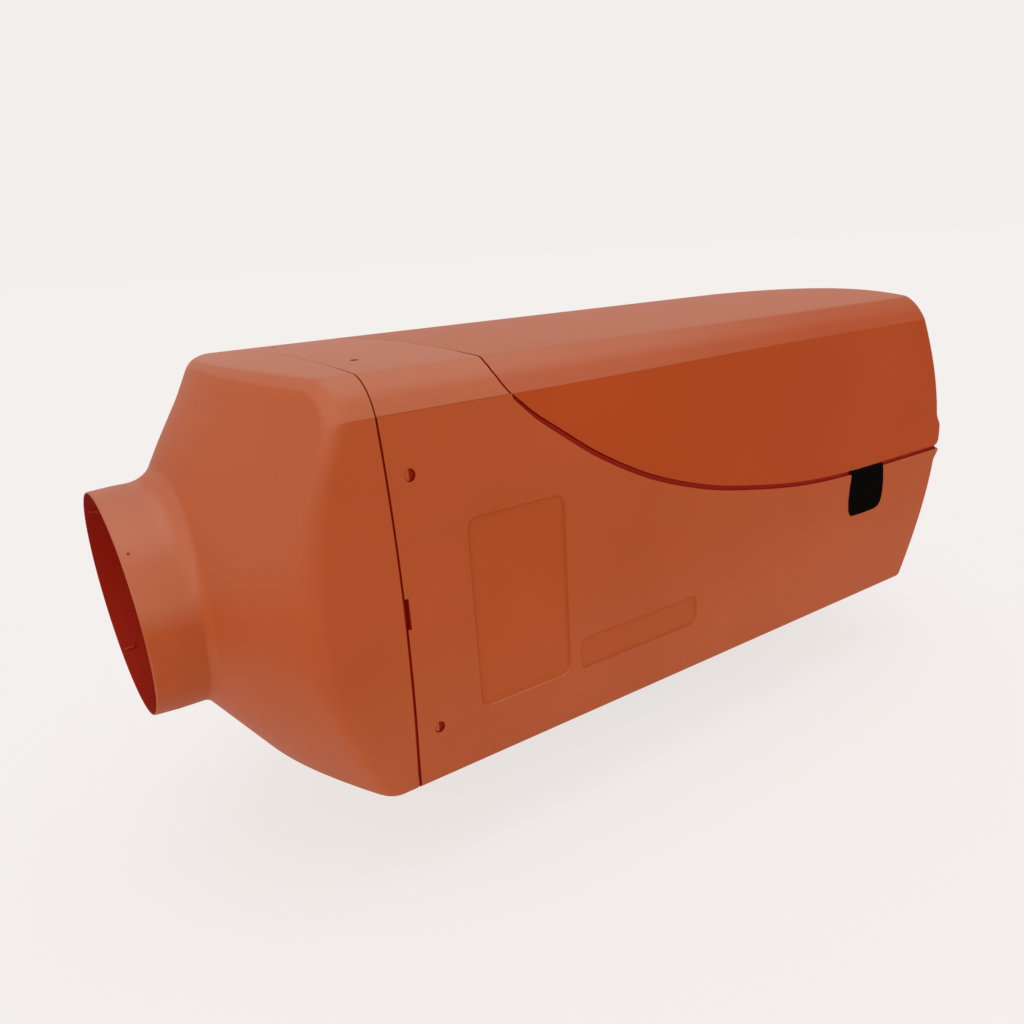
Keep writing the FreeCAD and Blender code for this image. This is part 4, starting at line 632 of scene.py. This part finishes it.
# ---------------- casing shells
def cap_profile(x_start, rim, flat, depth, shift, steps):
    """Run of (x, radius) along the wall, round the coned end and in to the intake hole."""
    face = LENGTH - shift
    corner_radius = math.hypot(HALF, CREASE)
    way = (depth, -(corner_radius - flat))
    size = math.hypot(*way)
    way = (way[0] / size, way[1] / size)
    corner = face - (rim - flat) / (corner_radius - flat) * depth
    turn = math.atan2(-way[1], way[0])
    tangent = END_ROUND * math.tan(turn / 2)
    points = line((x_start, rim), (corner - tangent, rim), steps)
    points += swing((corner - tangent, rim - END_ROUND), END_ROUND, 0.0, turn, 6)
    tangent = END_BRIM * math.tan((math.pi / 2 - turn) / 2)
    points += run(points[-1], (face - way[0] * tangent, flat - way[1] * tangent), 12)
    points += swing((face - END_BRIM, flat - tangent), END_BRIM, turn, math.pi / 2, 3)
    return points + run((face, points[-1][1]), (face, HOLE), 3)


def on_cone(step, radius):
    """1 on the coned end, easing to 0 at its edge to the walls and at the intake hole."""
    return smooth(step / 6) * smooth((radius - HOLE) / 6)


def lip_bead(away, proud, start, foot_run, level, reach):
    """How far a lip stands out, by the distance from the parting: round foot, level, soft end."""
    if away < 0 or away > reach:
        return 0.0
    foot = math.sqrt(max(1 - (1 - min(away / foot_run, 1.0)) ** 2, 0.0))
    return proud * lerp(start, 1.0, foot) * (1 - smooth((away - level) / (reach - level)))


# Steps over the side walls from the parting, closer together over the lips
LID_STEPS = (0, 0.4, 0.9, 1.5, 2.2, 3.0, 4.5, 7.0, 9.0, 10.2, 11.4, 12.6, 13.8, 15.0, 16.4, 18.0, 22.0, 28.0, 34.0,
             40.0, 46.0, 52.0, 58.0)
CASING_STEPS = (0, 0.3, 0.7, 1.2, 1.8, 2.5, 3.2, 4.0, 4.8, 5.6, 6.5, 9.0, 13.0, 18.0, 23.0, 28.0, 33.0, 38.0, 43.0,
                48.0, 53.0, 57.5)

# Radius of the flat end, depth of its cone, side of the parting, height at the wall's far end, and lip
ENDS = {
    "lid": (55.7, 37.3, 1, CREASE, (3.3, 0.25, 3.0, 9.0, 16.5)),
    "casing": (52.7, 30.2, -1, BASE + CORNER, (3.2, 0.35, 1.2, 1.0, 6.5)),
}


def end_shell(name, kind, columns, x_front, material, steps=70):
    """Skin of the lid or of the lower casing, as a grid along and across the heater.

    columns gives ("side", sign, share) between parting and far end of a side wall, or
    ("section", (y, z)) for the rest of the section.
    """
    flat, depth, away, far_z, bead = ENDS[kind]
    level = parting_edge(LENGTH, away)
    lines = []
    for column in columns:
        side = column[0] == "side"
        y, rim_z = (column[1] * HALF, lerp(level, far_z, column[2])) if side else column[1]
        rim = math.hypot(y, rim_z)
        profile = cap_profile(x_front(column), rim, flat, depth, 0.0, steps)
        if kind == "casing":
            before = max(n for n in range(steps) if profile[n][0] < LID_KNEE)
            profile[before] = (LID_KNEE - 0.1, profile[before][1])
        if side:
            far_angle, rim_low = math.atan2(far_z, abs(y)), math.asin(level / rim)
            phi = (math.asin(rim_z / rim) - rim_low) / (far_angle - rim_low)
        points = []
        for n, (x, radius) in enumerate(profile):
            if n <= steps:
                z = rim_z
                if side:
                    flush = kind == "casing" and x < LID_KNEE
                    top = CREASE - 0.04 if flush else min(parting_edge(x, away), CREASE)
                    z = lerp(top, far_z, column[2])
                points.append(place(x, y, z))
                continue
            if side:
                low = math.asin(level / radius)
                angle = low + phi * (far_angle - low)
                yy, z = math.copysign(radius * math.cos(angle), y), radius * math.sin(angle)
            else:
                yy, z = y * radius / rim, rim_z * radius / rim
            points.append(place(x + on_cone(n - steps, radius) * lip_bead((z - level) * away, *bead), yy, z))
        lines.append(points)
    return clean(grid(name, list(zip(*lines)), material))


def shell_columns(steps, reach, section):
    """Columns of an end shell: right side wall, the rest of the section, left side wall."""
    right = [("side", -1, step / reach) for step in steps]
    left = [("side", 1, step / reach) for step in reversed(steps)]
    return right + [("section", p) for p in section] + left


# Front edge of the lid's top as y and x, from the shoulder down the chamfer
FRONT_EDGE = ((59.0, 43.6), (62.9, 43.2), (66.2, 43.6), (68.6, 45.1), (69.5, 46.3), (70.0, 47.6))


def front_edge(y):
    """Where the bridge ends and the lid begins, over the top and down the chamfer."""
    y = abs(y)
    if y <= FRONT_EDGE[0][0]:
        return FRONT_EDGE[0][1]
    for (y0, x0), (y1, x1) in zip(FRONT_EDGE, FRONT_EDGE[1:]):
        if y <= y1:
            return lerp(x0, x1, (y - y0) / (y1 - y0))
    return FRONT_EDGE[-1][1]


def lid_start(column):
    """Where a column of the lid begins: the knee on the sides, the front edge on the top."""
    return LID_KNEE if column[0] == "side" else front_edge(column[1][0]) + front_half(column[1][0])


def casing_start(column):
    """Where a column of the lower casing begins, at the joint with the hood."""
    if column[0] == "side":
        return seam_half(HALF, lerp(CREASE - 0.2, BASE + CORNER, column[2]))
    return seam_half(*column[1])


def strip(name, rows, flip, wall):
    """Thin wall behind a gap, in the painted shade red, through rows of points; flip turns its front."""
    if flip:
        rows = [row[::-1] for row in rows]
    return walled(clean(grid(name, rows, shade_red)), wall)


def edge_lip(name, height, steps=90):
    """Thin lip of the lower casing that stands behind the gap to the lid, both sides."""
    parts = []
    for side in (-1, 1):
        rows = []
        for k in range(steps + 1):
            x = lerp(30.0, 306.0, k / steps)
            low, top = parting(x) - height, min(parting(x) + height, CREASE - 0.3)
            rows.append([place(x, side * (HALF - LIP_INSET), lerp(low, top, v / 6)) for v in range(7)])
        parts += [rounded(strip(f"{name}_{side}", rows, side > 0, 1.6), 0.35, 2),
                  gap_tongue(f"{name}_gap_{side}", side), end_tongue(f"{name}_end_{side}", side)]
    for part in parts:
        carve(part, through_cutter("lip_outlet_cutter", outlet_outline(*OUTLET)))
    return join(name, *parts)


def gap_tongue(name, side, steps=120):
    """The lower half of the lapped joint under the lid, seen in the gap along the side."""
    rows = []
    for k in range(steps + 1):
        x = lerp(43.5, 300.0, k / steps)
        low, top = parting_edge(x, -1) - 0.6, min(parting_edge(x, 1) - 0.25, CREASE - 0.3)
        rows.append([place(x, side * (HALF - 1.1), lerp(min(low, top - 0.2), top, v / 2)) for v in range(3)])
    return strip(name, rows, side > 0, 1.0)


def end_tongue(name, side, steps=6):
    """The lip's run round the fan end, seen in the gap a little behind the outer face."""
    rows = []
    for lift in (-0.9, -0.45, 0.0, 0.45, 0.9):
        z = parting(LENGTH) + CURVE_RISE + lift
        row = []
        for n, (x, radius) in enumerate(cap_profile(296.0, math.hypot(HALF - 1.4, z), 54.2, 33.8, -0.6, steps)):
            row.append(place(x + 0.9 * on_cone(n - steps, radius), side * math.sqrt(max(radius ** 2 - z ** 2, 0.0)), z))
        rows.append(row)
    return strip(name, rows, side < 0, 3.0)


# Outline of the rubber plug under the parting, the middle that it grows from, and how much the cable
# outlet is larger and how high it is open
PLUG = ((236.6, -3.9), (236.1, -9.0), (235.9, -15.8), (236.5, -20.4), (238.0, -22.9), (239.8, -23.7),
        (248.4, -23.95), (257.3, -23.8), (260.2, -23.1), (261.9, -21.5), (262.8, -18.8), (263.1, -16.0),
        (262.9, -11.0), (262.2, -6.5), (261.5, -3.6))
PLUG_MIDDLE = (249.5, -10.0)
OUTLET = (0.1, 12.0)


def outlet_outline(grow, top):
    """Outline of the cable outlet, larger by grow, open upwards to a height."""
    low = grown(PLUG, PLUG_MIDDLE, grow)
    return low + [(low[-1][0], top), (low[0][0], top)]


def saddle_rib(name, x, radius, limit, wall=3.0, rise=34.0):
    """Cross rib with a round cradle, between the side walls of the lower casing.

    limit is the radius inside which the rib's lower corners stay where the end narrows, or 0.
    """
    half, low = HALF - WALL - 0.02, BASE + WALL + 0.02
    top = BASE + rise
    edge = math.sqrt(radius ** 2 - top ** 2)
    corner = [(half, low + CORNER), (half - CORNER, low)]
    if limit:
        angles = [lerp(math.acos(half / limit), math.asin(-low / limit), k / 6) for k in range(7)]
        corner = [(limit * math.cos(a), -limit * math.sin(a)) for a in angles]
    points = [(-y, z) for y, z in corner] + corner[::-1] + [(half, top), (edge, top)]
    start, end = math.atan2(edge, top), 2 * math.pi + math.atan2(-edge, top)
    points += swing((0.0, 0.0), radius, start, end, 30)[:-1] + [(-edge, top), (-half, top)]
    return loft(name, [[place(at, y, z) for y, z in points] for at in (x, x + wall)], orange)


def bridge_shell(name, steps=14):
    """Skin over the crease between hood and lid."""
    lines = []
    for y, z in over_the_top(0.0):
        lift = 0.02 if abs(y) > HALF - 0.01 else 0.0
        ends = (seam_half(y, z), z + lift), (front_edge(y) - front_half(y), z + lift)
        lines.append([place(x, y, height) for x, height in line(*ends, steps)])
    return clean(grid(name, list(zip(*lines)), orange))


def bridge_lip(name, steps=5):
    """Lip under the joint between bridge and lid, left open where the hooks pass."""
    runs = [[]]
    for y, z in over_the_top(LIP_INSET, 44):
        if abs(abs(y) - HOOK_Y) < 7.5 or abs(y) > 66.5:
            runs.append([])
        else:
            runs[-1].append((y, z))
    parts = []
    for number, points in enumerate(points for points in runs if len(points) > 2):
        rows = [[place(lerp(38.5, 50.0, k / steps), y, z) for y, z in points] for k in range(steps + 1)]
        parts.append(strip(f"{name}_{number}", rows, False, 1.6))
    return join(name, *parts)


def whole_section(inset):
    """Closed section loop (y, z), fine enough for the round collar."""
    half, high, low = HALF - inset, crease_height(inset), BASE + inset + CORNER
    left, right = run((half, high), (half, low), 36)[:-1], run((-half, low), (-half, high), 36)[:-1]
    return over_the_top(inset, 32) + left + round_the_bottom(inset, 6, 34)[::-1] + right


def paint_rows(piece, across, material, chosen):
    """Gives the chosen rows of a grid a second material."""
    piece.data.materials.append(material)
    for face in piece.data.polygons:
        if chosen(face.index // across):
            face.material_index = 1
    return piece


def hood_shell(name):
    """Closed shell: round collar, cone, soft front edge and the band behind it, inside and out."""
    slope = CONE_DEPTH / (CONE_REACH - COLLAR)
    size = math.hypot(slope, 1.0)
    turn = math.atan2(1.0, slope)
    rim = COLLAR_RIM
    bore = (-CONE_DEPTH + 2.4 - COLLAR_WALL * slope, COLLAR - COLLAR_WALL)
    lines = []
    for (y, z), (inner_y, inner_z) in zip(whole_section(0.0), whole_section(WALL)):
        reach, inner_reach = math.hypot(y, z), math.hypot(inner_y, inner_z)
        way = (y / reach, z / reach)
        root, edge = 2.4 + 4.4 * max(way[1], 0.0), 9.2 + 3.0 * way[0] ** 2
        fillet = root / math.tan(turn / 2)
        half = seam_half(y, z)
        # Rim, collar, root fillet, cone, rounded front edge and band
        outside = [(rim + 9.0, COLLAR - 1.5), (rim + 4.0, COLLAR - 1.2), (rim + 0.2, COLLAR - 0.95),
                   (rim, COLLAR - 0.82), (rim + 0.05, COLLAR - 0.6), (rim + 0.5, COLLAR - 0.42)]
        outside += run(outside[-1], (rim + 8.0, COLLAR), 4)
        outside += run(outside[-1], (-CONE_DEPTH - root, COLLAR), 6)
        outside += swing((-CONE_DEPTH - root, COLLAR + fillet), fillet, math.pi, math.pi - turn, 7)
        corner = -CONE_DEPTH + (reach - COLLAR) * slope
        back = edge * math.tan(turn / 2)
        outside += run(outside[-1], (corner - back * slope / size, reach - back / size), 14)
        outside += swing((corner + back, reach - edge), edge, -turn, 0.0, 7)
        outside += run(outside[-1], (-half - 0.2, reach), 4)
        outside += [(-half - 0.05, reach - 0.05), (-half, reach - 0.2)]
        # Seam tongue
        tongue, deep, deeper = max(half - 0.25, -half), lerp(reach, inner_reach, 0.28), lerp(reach, inner_reach, 0.7)
        column = [place(x, way[0] * r, way[1] * r) for x, r in outside + [(-half, deep), (tongue, deep)]]
        # Band, cone and collar from the inside
        meet = -CONE_DEPTH + 3.0 + (inner_reach - COLLAR) * slope
        inside = [(tongue, deeper), (-half, deeper), (-half, inner_reach + 0.3), (-half - 0.3, inner_reach)]
        inside += run(inside[-1], (meet - 0.6, inner_reach), 4)
        inside += line((meet - 0.9, inner_reach - 0.9), (bore[0], bore[1] + 0.8), 12)
        inside += line((bore[0] - 0.8, bore[1]), (rim + 14.0, bore[1]), 10)
        column += [place(x, inner_y / inner_reach * r, inner_z / inner_reach * r) for x, r in inside]
        lines.append(column)
    rows = list(zip(*lines))
    shell = grid(name, rows + rows[:1], orange, closed=True)
    front = len(outside) - 1
    # The mouth of the collar and every face from the seam inwards get the painted shade red
    return clean(paint_rows(shell, len(lines), shade_red, lambda row: row >= front or row < 3))


def spigot(name):
    """Thin sleeve of the hood that slides into the casing, in the painted shade red under the joint and orange behind.
    """
    rows = [[place(x, y, z) for y, z in whole_section(WALL + 0.35 + extra)]
            for x, extra in ((-6.0, 0.0), (-2.0, 0.0), (2.0, 0.0), (4.2, 0.0), (6.0, 0.0), (8.6, 0.0), (8.9, 0.3))]
    sleeve = grid(name, rows, shade_red, closed=True)
    return walled(clean(paint_rows(sleeve, len(rows[0]), orange, lambda row: row >= 3)), 1.6)


def finish_tree(tree, outs, geometry, material):
    """Ends a Geometry Nodes tree with real geometry in one material."""
    real = node(tree, "GeometryNodeRealizeInstances", {"Geometry": geometry}).outputs["Geometry"]
    painted = node(tree, "GeometryNodeSetMaterial", {"Geometry": real, "Material": material})
    feed(tree, outs, {"Geometry": painted.outputs["Geometry"]})
    return tree


def run_tree(piece, tree, values):
    """Bakes a Geometry Nodes tree into a piece, with values for its named inputs."""
    maker = piece.modifiers.new("tree", "NODES")
    maker.node_group = tree
    for socket in tree.interface.items_tree:
        if socket.name in values:
            maker[socket.identifier] = values[socket.name]
    return applied(piece)


def repeated(unit, count, start_angle, material):
    """Copies of a unit turned about the heater's long axis, by a Geometry Nodes tree."""
    tree, ins, outs = new_group(
        unit.name + "_tree", "GeometryNodeTree",
        [("Geometry", "Geometry"), ("Count", "Int"), ("Start Angle", "Float"), ("Axis Height", "Float")],
        [("Geometry", "Geometry")])
    centre = node(tree, "ShaderNodeCombineXYZ", {"Z": ins["Axis Height"]}).outputs["Vector"]
    points = node(tree, "GeometryNodeMeshLine",
                  {"Count": ins["Count"], "Start Location": centre, "Offset": (0.0, 0.0, 0.0)}, mode="OFFSET")
    index = node(tree, "GeometryNodeInputIndex").outputs["Index"]
    step = maths(tree, "DIVIDE", 2 * math.pi, ins["Count"])
    angle = maths(tree, "MULTIPLY_ADD", index, step, ins["Start Angle"])
    turned = node(tree, "ShaderNodeCombineXYZ", {"X": angle}).outputs["Vector"]
    copies = node(tree, "GeometryNodeInstanceOnPoints",
                  {"Points": points.outputs["Mesh"], "Instance": ins["Geometry"], "Rotation": turned})
    finish_tree(tree, outs, copies.outputs["Instances"], material)
    return run_tree(unit, tree, {"Count": count, "Start Angle": math.radians(start_angle), "Axis Height": AXIS_Z * MM})


def collar_ribs(name, count):
    """Short ramped ribs just inside the collar's rim, in the ribs' painted shade red."""
    bore, rim = COLLAR - COLLAR_WALL, COLLAR_RIM
    points = [(rim + 1.2, bore + 0.6), (rim + 2.0, bore + 0.1), (rim + 4.6, bore - 0.3), (rim + 5.6, bore + 0.6)]
    rings = [[Vector(((x + SEAM_X) * MM, w * MM, r * MM)) for x, r in points] for w in (-0.35, 0.35)]
    return repeated(loft(name, rings, rib_shade_red), count, 45.0, rib_shade_red)


def snap_catches(name):
    """Half-round catches on the hood's spigot that click into the clip holes, and their pads in the painted shade red.
    """
    parts = []
    for number, (x, z) in enumerate(CLIP_HOLES):
        half_round = circle(1.95, 24, x, z)[6:19]
        for side in (-1, 1):
            root = side * (HALF - 3.2)
            catch = drafted(f"{name}_{number}_{side}", half_round, root, side * (HALF - 0.45), 0.0, orange)
            parts.append(rounded(catch, 0.25, 2))
            parts.append(drafted(f"{name}_pad_{number}_{side}", circle(1.9, 24, x, z), root, side * (HALF - 1.0), 0.0,
                                 shade_red))
    return join(name, *parts)


def gate_mark(name, x=-67.1, steps=16):
    """Small round gate mark on the outside of the collar, in the same darker red as the ribs."""
    spin = math.atan2(25.84, -29.67)
    out, across = Vector((0, math.cos(spin), math.sin(spin))), Vector((0, -math.sin(spin), math.cos(spin)))
    rings = [[place(x + v, 0, 0) + (out * (COLLAR + lift) + across * u) * MM for u, v in circle(radius, steps)]
             for lift, radius in ((-0.2, 0.4), (0.12, 0.36), (0.2, 0.24))]
    return loft(name, rings, rib_shade_red)


def cable_plug(name, side):
    """Rubber plug: barrel-shaped outline, a small ear in the gap, and a flange behind the wall."""
    top = [(x, parting_edge(x, 1) - 0.25) for x in (260.6, 254.0, 248.0, 242.0, 236.8)]
    shape = [*PLUG, *top, (235.4, parting_edge(235.4, 1) - 0.7), (235.8, -2.9)]
    front = drafted(name, shape, side * (HALF - 4.4), side * (HALF + 0.35), 0.0, rubber)
    back = drafted(name + "_flange", outlet_outline(2.0, -2.6), side * (HALF - 6.4), side * (HALF - 4.4), 0.0,
                   rubber)
    return join(name, rounded(front, 0.6, 4), rounded(back, 0.4, 4))


def hole_pocket(name, x, z, side):
    """Blind socket behind a clip hole, in the painted shade red."""
    rings = [[place(u, side * (HALF - WALL - depth), v) for u, v in circle(radius, 24, x, z)]
             for depth, radius in ((1.95, 2.75), (5.5, 2.6), (5.6, 0.0))]
    return walled(clean(grid(name, [ring + ring[:1] for ring in rings], shade_red)), 0.8, 1)


def thread_tree():
    """Geometry Nodes tree that winds a helical ridge from a spiral and a ridge profile."""
    tree, ins, outs = new_group(
        "thread_tree", "GeometryNodeTree",
        [("Radius", "Float"), ("Pitch", "Float"), ("Length", "Float")], [("Geometry", "Geometry")])
    root = maths(tree, "MULTIPLY_ADD", ins["Pitch"], -0.45, ins["Radius"])
    spiral = node(tree, "GeometryNodeCurveSpiral", {
        "Resolution": 22, "Rotations": maths(tree, "DIVIDE", ins["Length"], ins["Pitch"]),
        "Start Radius": root, "End Radius": root, "Height": ins["Length"]})
    ridge = node(tree, "GeometryNodeCurvePrimitiveCircle",
                 {"Resolution": 4, "Radius": maths(tree, "MULTIPLY", ins["Pitch"], 0.45)})
    sweep = node(tree, "GeometryNodeCurveToMesh", {
        "Curve": spiral.outputs["Curve"], "Profile Curve": ridge.outputs["Curve"], "Fill Caps": True})
    return finish_tree(tree, outs, sweep.outputs["Mesh"], steel)


def threaded_studs(name, radius=3.0, pitch=1.0, length=22.0, low=-89.5):
    """Four studs: a chamfered core and a helical ridge each."""
    tree = thread_tree()
    core = radius - 0.45
    profile = ((low, core - 0.5), (low + 0.5, core), (low + length - 0.5, core), (low + length, core - 0.5))
    pieces = []
    for number, (x, y) in enumerate(((96.0, -36.0), (96.0, 36.0), (154.0, -36.0), (154.0, 36.0))):
        ridge = run_tree(mesh_object(f"{name}_{number}", [], []), tree,
                         {"Radius": radius * MM, "Pitch": pitch * MM, "Length": (length - 1.2) * MM})
        ridge.data.transform(Matrix.Translation(place(x, y, low + 0.6)))
        pieces += [round_bar(f"{name}_core_{number}", x, y, profile, steel, 28), ridge]
    return join(name, *pieces)


# Lid, with the two hooks of its front edge
columns = shell_columns(LID_STEPS, CREASE - parting_edge(LENGTH, 1), over_the_top(0.0))
lid = thicken(end_shell("lid_shell", "lid", columns, lid_start, lid_orange))
hooks = []
for number, y in enumerate((-HOOK_Y, HOOK_Y)):
    width = (y - 7.0, y + 7.0)
    hooks += [rounded(box_block(f"lid_hook_{number}", (40.0, 48.0), width, (68.3, 70.7), orange), 0.5, 3),
              rounded(box_block(f"lid_hook_root_{number}", (44.8, 48.0), width, (70.7, 72.2), orange), 0.2, 3)]
lid = join("lid_shell", lid, *hooks)
finish_piece(settle(ease_crease(lid)), "lid", "orange_plastic", "lid")

# Lower casing: walls, recesses, clip holes, pry notches, cable outlets, foot opening and inner lip
columns = shell_columns(CASING_STEPS, parting_edge(LENGTH, -1) - (BASE + CORNER), round_the_bottom(0.0, 8, 40))
lower = thicken(end_shell("lower_casing_shell", "casing", columns, casing_start, orange))
# Recess and foot walls take the recess moulding with its weaker painted sheen; notch, clip-hole and outlet walls take
# the painted shade red
cutters = [drafted(f"label_cutter_{n}", rounded_outline(*outline), -HALF + 0.8, -HALF - 2.0, 1.6, recess)
           for n, outline in enumerate(((27.6, 67.3, -46.2, 23.6, 3.8), (73.0, 134.7, -47.0, -34.0, 3.0)))]
cutters += [box_block("foot_cutter", (85.0, 194.0), (-52.0, 52.0), (-72.0, -60.0), recess),
            box_block("notch_cutter", (-5.0, 1.75), (-THROUGH, THROUGH), (-7.8, 3.0), shade_red)]
cutters += [through_cutter(f"clip_hole_cutter_{n}", circle(2.1, 32, x, z)) for n, (x, z) in enumerate(CLIP_HOLES)]
cutters.append(through_cutter("outlet_cutter", outlet_outline(*OUTLET)))
carve(lower, *cutters)
lip = edge_lip("casing_lip", 6.0)
SADDLES = ((21.0, 62.2, 0.0), (76.0, 62.2, 0.0), (229.0, 56.2, 0.0), (293.0, 56.2, 81.2))
ribs = [saddle_rib(f"saddle_{n}", *saddle) for n, saddle in enumerate(SADDLES)]
pockets = [hole_pocket(f"pocket_{n}_{side}", x, z, side)
           for n, (x, z) in enumerate(((9.4, 42.0), (10.2, -46.8))) for side in (-1, 1)]
lower = join("lower_casing_shell", lower, lip, *ribs, *pockets)
finish_piece(settle(ease_crease(bow_joint(lower))), "root", "orange_plastic", "lower_casing")

# Bridge between hood and lid
bridge = thicken(bridge_shell("upper_casing_shell"), rim=0.12, rim_inside=False)
# The top holes' walls take the painted shade red
carve(bridge, *[round_bar(f"top_hole_cutter_{n}", 10.6, y, ((60.0, 1.35), (84.0, 1.35)), shade_red, 32)
                for n, y in enumerate((-36.6, 36.6))])
bridge = join("upper_casing_shell", bridge, bridge_lip("bridge_lip"))
finish_piece(settle(ease_crease(bridge)), "root", "orange_plastic", "upper_casing")

# Outlet hood: duct collar, cone, spigot with its catches, ribs and gate mark of the collar
hood = join("outlet_hood_shell", hood_shell("outlet_hood_shell"), spigot("hood_spigot"),
            collar_ribs("collar_ribs", 4), gate_mark("collar_gate_mark"), snap_catches("snap_catches"))
finish_piece(settle(ease_crease(bow_joint(hood))), "hood", "orange_plastic", "outlet_hood")

# Rubber plugs in the cable outlets
for label, side in (("cable_plug_right", -1), ("cable_plug_left", 1)):
    finish_piece(settle(cable_plug(label + "_moulding", side), 40.0), "root", "black_rubber", label)

# Studs with their threads
finish_piece(settle(threaded_studs("foot_stud_threads"), 30.0), "root", "steel", "foot_studs")


# ---------------- floor, lamps and camera
BACKDROP = linear(243, 239, 236)
FLOOR_HALF = 30.0
FLOOR_DROP = 0.0005
FLOOR_SHARE = 0.84


def show_backdrop(tree, lit, kind, output, share):
    """Shows the backdrop's own colour to camera, gloss and transmission rays, over the lit surface."""
    path = node(tree, "ShaderNodeLightPath").outputs
    seen = maths(tree, "MAXIMUM", path["Is Camera Ray"], path["Is Glossy Ray"])
    seen = maths(tree, "MAXIMUM", seen, path["Is Transmission Ray"])
    glow = node(tree, kind, {"Color": BACKDROP}).outputs[0]
    mix = node(tree, "ShaderNodeMixShader", {"Fac": maths(tree, "MULTIPLY", seen, share), 1: lit, 2: glow})
    feed(tree, tree.nodes[output], {"Surface": mix.outputs["Shader"]})


def pale_floor():
    """Pale floor that shows the backdrop's colour to the camera and keeps a soft shadow."""
    made, tree, shader = new_material("pale_floor")
    feed(tree, shader, {"Base Color": (0.970, 0.950, 0.935, 1.0), "Roughness": 1.0, "Specular IOR Level": 0.0})
    show_backdrop(tree, shader.outputs["BSDF"], "ShaderNodeEmission", "Material Output", FLOOR_SHARE)
    return made


floor_z = cad_box[0][2] - FLOOR_DROP
corners = [(x * FLOOR_HALF, y * FLOOR_HALF, floor_z) for x, y in ((-1, -1), (1, -1), (1, 1), (-1, 1))]
floor = mesh_object("floor", corners, [(0, 1, 2, 3)], pale_floor())


def studio_world():
    """Even soft light, with the pale backdrop where the camera and gloss see it."""
    world = bpy.data.worlds.new("studio")
    world.use_nodes = True
    tree = world.node_tree
    soft = feed(tree, tree.nodes["Background"], {"Color": (1.0, 0.98, 0.96, 1.0), "Strength": 0.57})
    show_backdrop(tree, soft.outputs["Background"], "ShaderNodeBackground", "World Output", 1.0)
    return world


bpy.context.scene.world = studio_world()


def sun(name, direction, strength, softness):
    """Soft far lamp that shines along a direction."""
    data = bpy.data.lights.new(name, "SUN")
    data.energy = strength
    data.angle = math.radians(softness)
    made = bpy.data.objects.new(name, data)
    bpy.context.scene.collection.objects.link(made)
    made.rotation_euler = Vector(direction).to_track_quat("-Z", "Y").to_euler()


sun("overhead", (0.05, 0.05, -1.0), 0.88, 50.0)
sun("front", (0.62, 0.70, -0.35), 1.10, 50.0)
sun("fan_side", (-0.85, 0.45, -0.28), 0.10, 60.0)

# Camera as fitted to the photograph, with its focal length and principal point in pixels
SENSOR, PIXELS, FOCAL = 36.0, 1024.0, 824.4
PRINCIPAL = (514.89, 587.9)
eye = bpy.data.cameras.new("camera")
camera = bpy.data.objects.new("camera", eye)
bpy.context.scene.collection.objects.link(camera)
right = Vector((0.8154987, -0.5756977, -0.05944766))
up = Vector((0.26390857, 0.27847737, 0.92347313))
back = Vector((-0.51508653, -0.76877989, 0.37902949))
turn = Matrix((right, up, back)).transposed()
camera.matrix_world = Matrix.Translation((-0.227514, -0.289163, 0.180102)) @ turn.to_4x4()
eye.sensor_width = SENSOR
eye.lens = FOCAL * SENSOR / PIXELS
eye.shift_x = (PIXELS / 2 - PRINCIPAL[0]) / PIXELS
eye.shift_y = (PRINCIPAL[1] - PIXELS / 2) / PIXELS
eye.clip_start = 0.01
bpy.context.scene.camera = camera
bpy.context.scene.view_settings.view_transform = "Standard"
